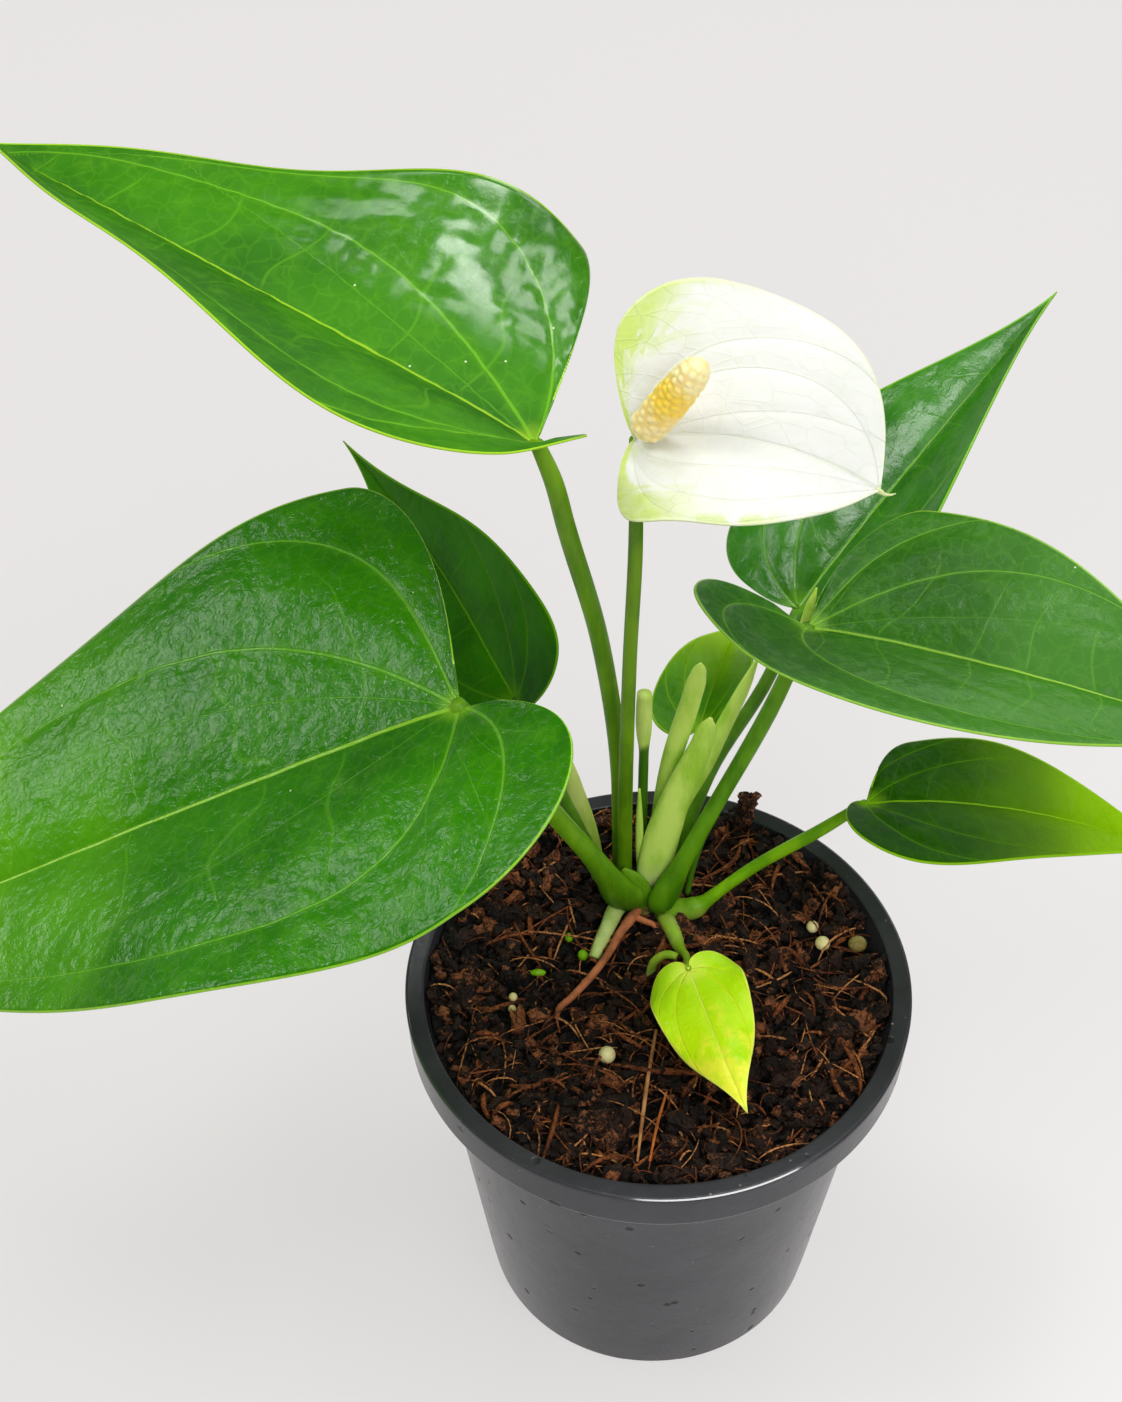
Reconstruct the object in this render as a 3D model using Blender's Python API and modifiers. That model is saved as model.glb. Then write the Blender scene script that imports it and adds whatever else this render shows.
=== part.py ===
"""Potted anthurium: a small flowering plant with heart-shaped leaves in a tapered plastic pot.

The origin is the centre of the pot's underside, +Z is up and the side with the small lime leaf faces -Y.
Lengths in the tables below are millimetres and angles are degrees; mm() turns them into metres.
"""
import math

import bmesh
import bpy
import numpy as np
from mathutils import Matrix, Vector
from mathutils.bvhtree import BVHTree

# Driving sizes of the pot, in millimetres
RIM_RADIUS = 65.0
RIM_INNER_RADIUS = 60.2
RIM_THICK = 1.6
POT_HEIGHT = 114.8
BAND_HEIGHT = 11.8
BAND_WALL = 1.4
BAND_DRAFT = 0.6
EDGE_ROUND = 0.9
BASE_RADIUS = 44.5
BODY_TOP_RADIUS = 59.3
WALL = 1.3
FLOOR = 1.6
POT_SIDES = 56
DRAIN_HOLES = 6
DRAIN_RING_RADIUS = 31.0
DRAIN_RADIUS = 4.0

# Soil and crown: the soil stands higher towards the pot wall
SOIL_TOP = 105.0
SOIL_EDGE_RISE = 4.0
SOIL_RADIUS = 57.4
SOIL_PLAY = 0.6
SOIL_RELIEF = 0.73
SOIL_RINGS = 12
SOIL_SIDES = 60
CROWN_CENTRE = (-3.5, 33.0)
CROWN_HALF = (13.4, 9.6)
CROWN_TOP = 111.5
CROWN_BOTTOM = 96.0
# Rings of the crown: share of its height and share of its half size
CROWN_RINGS = [(0, 0.85), (0.26, 0.95), (0.39, 0.9), (0.58, 1.0), (0.71, 0.94), (0.9, 1.0), (1.0, 0.93)]
GAP = 0.4

# Leaf blades
BLADE = 0.8
LEAF_COLUMNS = 24
LEAF_ROWS = 4
QUILT = 0.5
WAVES = 1.3

# Share of the outline from the notch to the back of the lobe, and on to the widest place
LOBE_SHARE = 0.16
WIDE_SHARE = 0.42
# A lobe shorter than this share of the length is drawn as a rounded base
ROUND_BASE = 0.03
# The first ray of the fan round the notch, as a share of the outline, with a lobe and with a straight base
FIRST_RAY = 0.09
STRAIGHT_RAY = 0.27
# How far the side veins lean towards the tip
VEIN_LEAN = 0.45
# A stalk narrows to this share of its radius where it meets the blade
STALK_NECK = 0.8


def mm(value):
    return value * 0.001


# A blade is set by its size, the pose of its midrib and the bend of each half
def leaf(at, length, width, heading, rise, droop=0, sweep=0, roll=0, twist=0, fold=(15, 15), curl=(-15, -15),
         lobes=(0.15, 0.15), lobe_rise=10, skew=0, wave=0, phase=(0, 0), wide=0.12, taper=0.65, tip=0.06,
         shoulder=0.32, notch=0.48):
    return dict(at=at, length=length, width=width, heading=heading, rise=rise, droop=droop, sweep=sweep,
                roll=roll, twist=twist, fold=fold, curl=curl, lobes=lobes, lobe_rise=lobe_rise, skew=skew,
                wave=wave, phase=phase, wide=wide, taper=taper, tip=tip, shoulder=shoulder, notch=notch)


LEAVES = {
    "leaf_upper_left": leaf(
        (-30.4, 38.9, 268.9), 164, 104, 156.5, 17, droop=-24, sweep=-21, roll=15, twist=-5,
        fold=(28, 27), curl=(-12, -16), lobes=(0.09, -0.024), lobe_rise=41, skew=-0.08, wave=7.9,
        phase=(166, -43), wide=0.106, taper=0.83, tip=0.103, notch=0.50
    ),
    "leaf_front_left": leaf(
        (-49.1, 2.4, 220.2), 201, 138, 180.5, -28.8, droop=3, sweep=7, roll=-1, twist=-16,
        fold=(12, 17), curl=(-14, -26), lobes=(0.155, 0.019), lobe_rise=-4, skew=-0.063, wave=6.5,
        phase=(-91, -13), wide=0.12, taper=0.83, tip=0.104, shoulder=0.375, notch=0.43
    ),
    "leaf_back_left": leaf(
        (-36.9, 45.6, 172.6), 97, 58, 115, 15, droop=-17, sweep=8, roll=-56, twist=-4,
        fold=(11, 19), curl=(-15, -12), lobes=(0.17, 0.077), lobe_rise=15, wave=2.0,
        phase=(0, -16), wide=0.10, taper=0.62, tip=0.058, shoulder=0.31
    ),
    "leaf_back_right": leaf(
        (36.2, 77.3, 173.7), 105.5, 65.5, 40.5, 36, droop=-8, sweep=2, roll=-2, twist=-6,
        fold=(11, 34), curl=(-18, -7), lobes=(0.035, 0.15), skew=0.014, wave=-1.2, phase=(7, 5),
        wide=0.147, taper=0.73, tip=0.08, shoulder=0.33, notch=0.5
    ),
    "leaf_right": leaf(
        (35.4, 43.0, 203.6), 118.5, 81.5, -22.5, 8.5, droop=-22, sweep=8, roll=-10, twist=26,
        fold=(23, 21), curl=(-16, -3), lobes=(0.01, 0.209), lobe_rise=31, skew=0.02, wave=-0.7,
        phase=(22, 30), wide=0.157, taper=0.72, tip=0.08, shoulder=0.375, notch=0.57
    ),
    "leaf_lower_right": leaf(
        (52.9, 31.8, 149.8), 87, 52.5, -2, 6, droop=-39, roll=-20, twist=26, fold=(13, 11),
        curl=(-14, -16), lobes=(-0.038, 0.063), lobe_rise=18, skew=-0.016, wave=-1.8,
        phase=(45, 18), wide=0.15, taper=0.73, tip=0.082, shoulder=0.31, notch=0.51
    ),
    "leaf_young": leaf(
        (7.3, -2.2, 124.7), 45, 26, -76, 6, droop=-18, sweep=7, roll=13, fold=(-2, -6),
        curl=(-20, -22), lobes=(0.10, 0.10), lobe_rise=-3, wave=4.0, phase=(-40, -39), wide=0.18,
        taper=0.76, tip=0.097, shoulder=0.37, notch=0.52
    ),
    "leaf_behind": leaf(
        (11.8, 70.4, 133.7), 51, 30, 74, 4, droop=-31, roll=-6, twist=9, fold=(28, 39),
        curl=(-7, 5), lobes=(0.145, 0.14), lobe_rise=17, wave=-1.0, phase=(-21, -9), wide=0.154,
        taper=0.71, tip=0.12, shoulder=0.345, notch=0.49
    ),
}
SMALL_LEAVES = ("leaf_young", "leaf_behind", "leaf_lower_right", "leaf_back_left")

# The white leaf of the flower head, shaped like a blade
SPATHE = leaf(
    (-8.3, 38.9, 269.7), 58.2, 65.4, -4.2, 16.1, droop=-41.5, sweep=-16.7, roll=18.6, twist=-7.6,
    fold=(26.1, 19.4), curl=(-10.6, -0.2), lobes=(0.04, 0.0491), lobe_rise=9.1, skew=0.089,
    wave=1.8, phase=(32.2, 28.5), wide=0.299, taper=0.917, tip=0.139, shoulder=0.505, notch=0.422
)

# Stalks as stations (x, y, z, half width, half depth), from the crown up
STALKS = {
    "petiole_upper_left": [
        (-9, 39, 112, 2.3, 2.3), (-9.5, 39.4, 130, 2.2, 2.2), (-10.1, 39.7, 152, 2.2, 2.2),
        (-15.5, 41.2, 200, 2.3, 2.3), (-23.9, 37.8, 243, 2.3, 2.3), (-26.9, 38.3, 257.5, 2.2, 2.2),
    ],
    "petiole_front_left": [
        (-8, 27.5, 112, 4.2, 2.2), (-9.2, 26.6, 117, 4.4, 2.3), (-15.5, 25.8, 132, 2.9, 2.5),
        (-25.3, 24.5, 151, 2.6, 2.6), (-38, 14, 189, 2.5, 2.5),
    ],
    "petiole_back_left": [
        (-13, 32.5, 112, 1.8, 1.8), (-15.5, 33.6, 121, 1.8, 1.8), (-23.5, 37, 142, 1.7, 1.7),
        (-31, 43, 157, 1.7, 1.7),
    ],
    "petiole_back_right": [
        (5, 34.5, 112, 1.9, 1.9), (6.6, 38.2, 122, 1.8, 1.8), (13.6, 49, 140, 1.75, 1.75),
        (29.5, 66.5, 160, 1.75, 1.75),
    ],
    "petiole_right": [
        (0.5, 26.5, 112, 3.0, 2.2), (2, 27.3, 118, 2.8, 2.3), (12.1, 32.7, 140, 2.2, 2.2),
        (29, 40.4, 181, 2.1, 2.1),
    ],
    "petiole_lower_right": [
        (7.3, 27.6, 112, 1.9, 1.9), (10.5, 27.8, 114.5, 1.7, 1.7), (23.2, 30, 123, 1.6, 1.6),
        (43, 30.5, 141, 1.6, 1.6),
    ],
    "petiole_behind": [
        (4.7, 39.4, 112, 1.0, 1.0), (5.1, 41.5, 114.5, 1.0, 1.0), (6.4, 47, 117, 1.0, 1.0),
        (8.5, 58, 121, 1.0, 1.0),
    ],
}
BLADE_OF = {
    "petiole_upper_left": "leaf_upper_left",
    "petiole_front_left": "leaf_front_left",
    "petiole_back_left": "leaf_back_left",
    "petiole_back_right": "leaf_back_right",
    "petiole_right": "leaf_right",
    "petiole_lower_right": "leaf_lower_right",
    "petiole_behind": "leaf_behind",
}
SCAPE = [
    (-8.3, 33.3, 112, 2.05, 2.05), (-8.6, 33.0, 150, 1.9, 1.9), (-8.3, 34.2, 200, 1.75, 1.75),
    (-7.6, 35.5, 245, 1.7, 1.7),
]

# Papery sheaths, flattened and pointed
SHEATHS = {
    "sheath_tall": [
        (0.8, 38.6, 112, 2.3, 1.2), (1.2, 41, 128, 2.7, 1.5), (3.4, 43.6, 152, 2.7, 1.6),
        (7.6, 44.4, 174, 2.4, 1.4), (9.4, 44.6, 184, 0.9, 0.6), (9.6, 44.6, 188, 0.3, 0.3),
    ],
    "sheath_broad": [
        (-1.6, 33.2, 112, 3.6, 1.9), (-0.9, 32.4, 119, 4.4, 2.2), (0.9, 34.4, 130, 4.7, 2.2),
        (5.2, 38.0, 146, 3.9, 2.0), (10.6, 41, 161, 2.9, 1.5), (12.6, 42.6, 169, 0.8, 0.6),
    ],
    "sheath_left": [
        (-15, 36.8, 112, 1.7, 1.2), (-16.6, 38.3, 122, 2.4, 1.4), (-21.3, 41.4, 141, 2.7, 1.6),
        (-24.6, 42.8, 153, 2.2, 1.3), (-26.4, 43.6, 160, 0.5, 0.5),
    ],
    "sheath_dry": [
        (4.9, 30.5, 112, 0.7, 0.4), (5.9, 31.6, 120, 0.9, 0.4), (7.3, 33.8, 128, 0.4, 0.3),
    ],
}
# Two more points of the broad sheath, grown into it
SHEATH_WINGS = {
    "wing_back": [
        (2.2, 35.6, 128, 1.6, 1.2), (6.5, 39, 140, 2.0, 1.2), (12, 43, 151, 2.3, 1.3),
        (16, 46, 161, 2.2, 1.2), (22, 49.5, 176, 1.4, 0.9), (24.2, 50.4, 183, 0.4, 0.4),
    ],
    "wing_scape": [
        (-3.2, 33.6, 114, 1.2, 0.9), (-4.3, 34.6, 125, 1.1, 0.8), (-4.7, 36, 138, 0.9, 0.7),
        (-4.9, 36.6, 149, 0.3, 0.3),
    ],
}

# Roots lie on the soil: stations (x, y, height over the soil, half width, half depth)
ROOTS = {
    "root_pale": [
        (-7.6, 22.2, 3.6, 2.0, 1.8), (-11.0, 19.4, 2.7, 2.0, 1.8), (-15.2, 14.6, 2.2, 1.6, 1.5),
    ],
    "root_brown": [
        (-2.0, 22.0, 4.0, 1.6, 1.4), (-6.6, 16.9, 3.6, 1.5, 1.4), (-12.4, 11.7, 2.4, 1.4, 1.4),
        (-19, 4.2, 1.7, 1.3, 1.2), (-27, -4.2, 1.3, 1.0, 0.9),
    ],
    "root_tan": [
        (-0.6, -9.3, 0.5, 0.5, 0.5), (-2.4, -20.4, 0.6, 0.6, 0.6), (-4.6, -37.2, 0.6, 0.6, 0.6),
        (-6.2, -51.1, 0.5, 0.5, 0.5),
    ],
    "root_orange": [
        (1.6, -28.7, 0.5, 0.5, 0.5), (-0.6, -39.3, 0.5, 0.5, 0.5), (-3.2, -51.1, 0.4, 0.4, 0.4),
    ],
}
YOUNG_STALK = [
    (3.2, 23.8, 109, 1.9, 1.7), (5.4, 16.0, 112, 1.7, 1.6), (7.0, 7.6, 117.4, 1.3, 1.2),
]
RUNNER = [
    (5.0, 7.4, 116.6, 1.0, 1.0), (2.6, 8.2, 116.4, 1.1, 1.1), (-0.4, 8.8, 113.2, 1.2, 1.2),
    (-1.8, 8.4, 107.0, 1.2, 1.2),
]

# Loose round things on the soil: centre (x, y) and half sizes
BEADS = {
    "bead_cream": (-13.3, -17.6, 2.3, 2.3, 2.2),
    "bead_green": (-19.3, 14.8, 1.4, 1.4, 1.6),
    "bead_pale": (-22.9, 19.9, 1.2, 1.2, 1.3),
    "bead_small_left": (-37.4, 0.7, 1.2, 1.2, 1.1),
    "bead_lower_left": (-37.6, -2.9, 1.1, 1.1, 1.0),
    "bead_right": (43.4, 16.6, 2.1, 2.0, 1.8),
    "nub_right": (41.1, 22.2, 1.7, 1.7, 1.6),
    "grain_right": (52.4, 15.7, 2.6, 2.4, 1.8),
    "sprout_left": (-31.0, 8.7, 2.2, 1.0, 0.9),
}
BEAD_RINGS = 6
BEAD_SIDES = 10
# Where the soil is felt under a resting thing, in shares of its half size
REST_STEPS = (-0.9, -0.6, -0.3, 0, 0.3, 0.6, 0.9)
# A root clears the soil this far to each side of a station
ROOT_REACH = 3.0

# Flower spike: base, tip, radii and florets
SPADIX_BASE = (-6.3, 37.4, 273.4)
SPADIX_TIP = (5.2, 32.7, 297.0)
SPADIX_RADIUS = 3.6
SPADIX_TIP_RADIUS = 2.5
FLORET_ROWS = 14
FLORETS_ROUND = 8
FLORET_HEIGHT = 0.35
# The tip starts to round off at this share of the length, and the base is narrower by this factor
TIP_START = 0.82
TIP_SHARE = 0.19
BASE_NARROW = 0.75

# Cut flower stalk and the unopened leaf
STUB = [
    (-4.3, 39.4, 112, 1.3, 1.3), (-4.4, 40.5, 130, 1.3, 1.3), (-4.3, 43.4, 155, 1.35, 1.35),
    (-4.3, 43.9, 158, 1.9, 1.9), (-4.3, 44.6, 165, 2.1, 2.1), (-4.2, 45.2, 170, 1.9, 1.9),
]
BUD = [
    (8.4, 31.8, 112, 0.8, 0.8), (9.5, 33.2, 120, 0.8, 0.8), (14, 37.5, 136, 0.8, 0.8),
    (29.5, 45.5, 176, 0.8, 0.8), (34.6, 49.8, 192, 0.9, 0.9), (35.6, 51, 197, 1.2, 1.2),
    (36.8, 52.4, 202, 1.0, 1.0), (37.8, 53.2, 206, 0.3, 0.3),
]

COLOURS = {
    "pot": (0.07, 0.07, 0.075),
    "soil": (0.06, 0.03, 0.015),
    "green": (0.12, 0.33, 0.04),
    "lime": (0.50, 0.72, 0.05),
    "stalk": (0.20, 0.36, 0.04),
    "white": (0.86, 0.88, 0.78),
    "yellow": (0.88, 0.62, 0.16),
    "sheath": (0.42, 0.55, 0.12),
    "brown": (0.25, 0.10, 0.04),
    "cream": (0.75, 0.68, 0.35),
}


# Remove what the session starts with
for old in list(bpy.data.objects):
    bpy.data.objects.remove(old)

plant = bpy.data.collections.new("potted_anthurium")
bpy.context.scene.collection.children.link(plant)
cutters = bpy.data.collections.new("cutters")
bpy.context.scene.collection.children.link(cutters)


def material(name, colour):
    made = bpy.data.materials.new(name)
    made.use_nodes = True
    shader = made.node_tree.nodes["Principled BSDF"]
    shader.inputs["Base Color"].default_value = (*colour, 1.0)
    shader.inputs["Roughness"].default_value = 0.5
    return made


def finish(bm, name, colour, smooth=True):
    bmesh.ops.recalc_face_normals(bm, faces=bm.faces)
    for face in bm.faces:
        face.smooth = smooth
    mesh = bpy.data.meshes.new(name)
    bm.to_mesh(mesh)
    bm.free()
    mesh.materials.append(material(name + "_paint", COLOURS[colour]))
    piece = bpy.data.objects.new(name, mesh)
    plant.objects.link(piece)
    return piece


# Leaf geometry: a flat half outline, then the same outline folded and bent along its midrib
def bezier(p0, p1, p2, p3, t):
    t = t[:, None]
    s = 1 - t
    ends = s**3 * np.array(p0) + t**3 * np.array(p3)
    return ends + 3 * s * s * t * np.array(p1) + 3 * s * t * t * np.array(p2)


def half_outline(shape, left, t):
    length = shape["length"]
    lobe = shape["lobes"][0 if left else 1] * length
    half = shape["width"] / 2 * (1 + shape["skew"] if left else 1 - shape["skew"])
    widest = shape["wide"] * length
    front = bezier((widest, half), (widest + shape["shoulder"] * length, half),
                   (shape["taper"] * length, shape["tip"] * 2 * half), (length, 0),
                   np.clip((t - WIDE_SHARE) / (1 - WIDE_SHARE), 0, 1))
    if lobe <= ROUND_BASE * length:
        side = bezier((0, 0), (-lobe, 0.5 * half), (0.45 * widest, half), (widest, half),
                      np.clip(t / WIDE_SHARE, 0, 1))
        return np.where((t < WIDE_SHARE)[:, None], side, front)
    back = bezier((0, 0), (-shape["notch"] * lobe, 0.05 * half), (-lobe, 0.18 * half), (-lobe, 0.46 * half),
                  np.clip(t / LOBE_SHARE, 0, 1))
    side = bezier((-lobe, 0.46 * half), (-lobe, 0.80 * half), (widest - 0.55 * (widest + lobe), half),
                  (widest, half), np.clip((t - LOBE_SHARE) / (WIDE_SHARE - LOBE_SHARE), 0, 1))
    return np.where((t < LOBE_SHARE)[:, None], back, np.where((t < WIDE_SHARE)[:, None], side, front))


def midrib(shape, x):
    steps = 60
    length = shape["length"]

    def direction(u):
        rise = np.radians(shape["rise"] + shape["droop"] * u)
        heading = np.radians(shape["heading"] + shape["sweep"] * u)
        along = np.stack([np.cos(rise) * np.cos(heading), np.cos(rise) * np.sin(heading), np.sin(rise)], -1)
        return along, heading

    middles, _ = direction((np.arange(steps) + 0.5) / steps)
    line = np.vstack([np.zeros(3), np.cumsum(middles * length / steps, 0)]) + np.array(shape["at"])
    u = np.clip(x / length, 0, 1)
    marks = np.linspace(0, 1, steps + 1)
    at = np.stack([np.interp(u, marks, line[:, k]) for k in range(3)], -1)
    along, heading = direction(u)
    level = np.stack([-np.sin(heading), np.cos(heading), 0 * heading], -1)
    up = np.cross(along, level)
    roll = np.radians(shape["roll"] + shape["twist"] * u)[:, None]
    return at, along, np.cos(roll) * level + np.sin(roll) * up, np.cos(roll) * up - np.sin(roll) * level


def bend(shape, x, y):
    at, along, across, up = midrib(shape, x)
    half = shape["width"] / 2
    left = y >= 0
    fold = np.radians(np.where(left, *shape["fold"]))
    turn = np.radians(np.where(left, *shape["curl"])) / half
    phase = np.radians(np.where(left, *shape["phase"]))
    out = np.abs(y)
    side = np.sign(y) * (np.sin(fold + turn * out) - np.sin(fold)) / turn
    lift = (np.cos(fold) - np.cos(fold + turn * out)) / turn
    lift += shape["wave"] * (out / half) ** 2 * np.sin(2 * np.pi * WAVES * x / shape["length"] + phase)
    back = np.minimum(x, 0)
    lobe = math.radians(shape["lobe_rise"])
    return (at + along * (back * math.cos(lobe))[:, None] + across * side[:, None]
            + up * (lift - back * math.sin(lobe))[:, None])


def blade_points(shape, t, v, quilt):
    out = np.zeros((len(t), 2))
    for left in (True, False):
        use = (v >= 0) == left
        if use.any():
            first = FIRST_RAY if shape["lobes"][0 if left else 1] >= 0 else STRAIGHT_RAY
            edge = half_outline(shape, left, first + (1 - first) * t[use])
            root = np.clip(edge[:, 0] - VEIN_LEAN * edge[:, 1], 0, shape["length"])
            share = np.abs(v[use])
            out[use, 0] = root + (edge[:, 0] - root) * share
            out[use, 1] = edge[:, 1] * share * (1 if left else -1)
    points = bend(shape, out[:, 0], out[:, 1])
    _, _, _, up = midrib(shape, out[:, 0])
    puff = quilt * np.abs(np.sin(2 * np.pi * v)) * np.sin(np.pi * t)
    return (points + up * puff[:, None]) * 0.001


def blade(name, shape, columns, rows, colour, quilt):
    bm = bmesh.new()
    bmesh.ops.create_grid(bm, x_segments=columns, y_segments=2 * rows, size=1.0)
    t = np.array([(v.co.x + 1) / 2 for v in bm.verts])
    v = np.array([v.co.y for v in bm.verts])
    v[np.abs(v) < 1e-6] = 0.0
    for vert, point in zip(bm.verts, blade_points(shape, t, v, quilt)):
        vert.co = point
    bmesh.ops.remove_doubles(bm, verts=bm.verts, dist=mm(0.02))
    bmesh.ops.dissolve_degenerate(bm, edges=bm.edges, dist=mm(0.02))
    bmesh.ops.triangulate(bm, faces=bm.faces)
    piece = finish(bm, name, colour)
    solid = piece.modifiers.new("thickness", "SOLIDIFY")
    solid.thickness = mm(BLADE)
    solid.offset = 0.0
    return piece


# Stalks: smooth stations, then rings bridged along them
def smooth_path(stations, between):
    rows = np.array(stations, float)
    steps = np.linalg.norm(np.diff(rows[:, :3], axis=0), axis=1)[:, None]
    slopes = np.diff(rows, axis=0) / steps
    middle = (slopes[1:] * steps[:-1] + slopes[:-1] * steps[1:]) / (steps[1:] + steps[:-1])
    tangents = np.vstack([slopes[:1], middle, slopes[-1:]])
    path = []
    for k in range(len(rows) - 1):
        for step in range(between):
            u = step / between
            path.append(rows[k] * (1 + 2 * u) * (1 - u) ** 2 + rows[k + 1] * u * u * (3 - 2 * u)
                        + steps[k] * (tangents[k] * u * (1 - u) ** 2 - tangents[k + 1] * u * u * (1 - u)))
    return path + [rows[-1]]


def ring_matrix(path, k, top):
    here = Vector(path[k][:3])
    ahead = Vector(path[min(k + 1, len(path) - 1)][:3]) - Vector(path[max(k - 1, 0)][:3])
    along = ahead.normalized()
    if k == 0 and abs(along.z) > 0.5:
        along = Vector((0, 0, 1))
    if k == len(path) - 1 and top is not None:
        along = top
    facing = Vector((0, -1, 0))
    across = facing.cross(along)
    if across.length < 0.1:
        across = Vector((1, 0, 0))
    across.normalize()
    deep = along.cross(across)
    frame = Matrix((across, deep, along)).transposed().to_4x4()
    size = Matrix.Diagonal((path[k][3], path[k][4], 1, 1))
    return Matrix.Scale(0.001, 4) @ Matrix.Translation(here) @ frame @ size


def tube(name, stations, colour, sides=10, between=3, top=None):
    path = smooth_path(stations, between)
    bm = bmesh.new()
    rings = []
    for k in range(len(path)):
        made = bmesh.ops.create_circle(bm, segments=sides, radius=1.0, matrix=ring_matrix(path, k, top))
        rings.append([e for e in bm.edges if e.verts[0] in made["verts"]])
    for low, high in zip(rings, rings[1:]):
        bmesh.ops.bridge_loops(bm, edges=low + high)
    bmesh.ops.contextual_create(bm, geom=rings[0])
    bmesh.ops.contextual_create(bm, geom=rings[-1])
    return finish(bm, name, colour)


def fuse(piece, others):
    for other in others:
        plant.objects.unlink(other)
        cutters.objects.link(other)
        other.hide_render = True
        other.display_type = "WIRE"
        join = piece.modifiers.new(other.name, "BOOLEAN")
        join.operation = "UNION"
        join.object = other
        join.solver = "MANIFOLD"


# The last ring of a stalk, tilted half way to the blade and clear of its underside
def blade_end(shape, last):
    at, _, _, up = midrib(shape, np.zeros(1))
    at = Vector(at[0])
    up = Vector(up[0])
    radius = STALK_NECK * last[3]
    along = ((at - Vector(last[:3])).normalized() + up).normalized()
    reach = radius * math.sqrt(1 - min(1, along.dot(up) ** 2))
    end = at - up * (BLADE / 2 + GAP + reach)
    return (*end, radius, radius), along


def stalk(name, stations, shape, colour, between=3):
    end, top = blade_end(shape, stations[-1])
    return tube(name, stations + [end], colour, between=between, top=top)


# Pot: one profile turned round the axis, from the foot up the outside and down the inside
def pot_wall(z):
    return BASE_RADIUS + (BODY_TOP_RADIUS - BASE_RADIUS) * z / POT_HEIGHT


def make_pot():
    band = POT_HEIGHT - BAND_HEIGHT
    shelf = POT_HEIGHT - RIM_THICK
    profile = [
        (BASE_RADIUS - EDGE_ROUND, 0),
        (BASE_RADIUS, EDGE_ROUND),
        (pot_wall(band), band),
        (RIM_INNER_RADIUS + EDGE_ROUND, shelf),
        (RIM_RADIUS - BAND_WALL, shelf),
        (RIM_RADIUS - BAND_DRAFT - BAND_WALL, band),
        (RIM_RADIUS - BAND_DRAFT, band),
        (RIM_RADIUS, POT_HEIGHT - EDGE_ROUND),
        (RIM_RADIUS - EDGE_ROUND, POT_HEIGHT),
        (RIM_INNER_RADIUS, POT_HEIGHT),
        (RIM_INNER_RADIUS - 0.5 * EDGE_ROUND, POT_HEIGHT - EDGE_ROUND),
        (pot_wall(band) - WALL, band),
        (BASE_RADIUS - WALL, FLOOR),
    ]
    bm = bmesh.new()
    verts = [bm.verts.new((mm(r), 0, mm(z))) for r, z in profile]
    edges = [bm.edges.new(pair) for pair in zip(verts, verts[1:])]
    bmesh.ops.spin(bm, geom=verts + edges, axis=(0, 0, 1), cent=(0, 0, 0), angle=2 * math.pi, steps=POT_SIDES,
                   use_merge=True)
    bmesh.ops.remove_doubles(bm, verts=bm.verts, dist=1e-6)
    for level in (0, mm(FLOOR)):
        loop = [e for e in bm.edges if len(e.link_faces) == 1 and abs(e.verts[0].co.z - level) < 1e-6
                and abs(e.verts[1].co.z - level) < 1e-6]
        bmesh.ops.contextual_create(bm, geom=loop)
    pot = finish(bm, "pot", "pot")
    bm = bmesh.new()
    for k in range(DRAIN_HOLES):
        angle = 2 * math.pi * (k + 0.5) / DRAIN_HOLES
        place = Matrix.Rotation(angle, 4, "Z") @ Matrix.Translation((mm(DRAIN_RING_RADIUS), 0, 0))
        bmesh.ops.create_cone(bm, cap_ends=True, segments=12, radius1=mm(DRAIN_RADIUS),
                              radius2=mm(DRAIN_RADIUS), depth=mm(4 * FLOOR), matrix=place)
    mesh = bpy.data.meshes.new("drain_holes")
    bm.to_mesh(mesh)
    bm.free()
    cutter = bpy.data.objects.new("drain_holes", mesh)
    cutters.objects.link(cutter)
    cutter.hide_render = True
    cutter.display_type = "WIRE"
    cut = pot.modifiers.new("drain holes", "BOOLEAN")
    cut.operation = "DIFFERENCE"
    cut.object = cutter
    cut.solver = "EXACT"
    return pot


# Soil: a rough surface
def soil_height(x, y):
    chips = (math.sin(0.9 * x + 2.1 * math.sin(0.31 * y)) * math.cos(1.1 * y + 1.7 * math.sin(0.27 * x))
             + 0.5 * math.sin(1.9 * x - 0.7 * y))
    return SOIL_TOP + SOIL_EDGE_RISE * (x * x + y * y) / SOIL_RADIUS**2 + SOIL_RELIEF * chips


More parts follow.
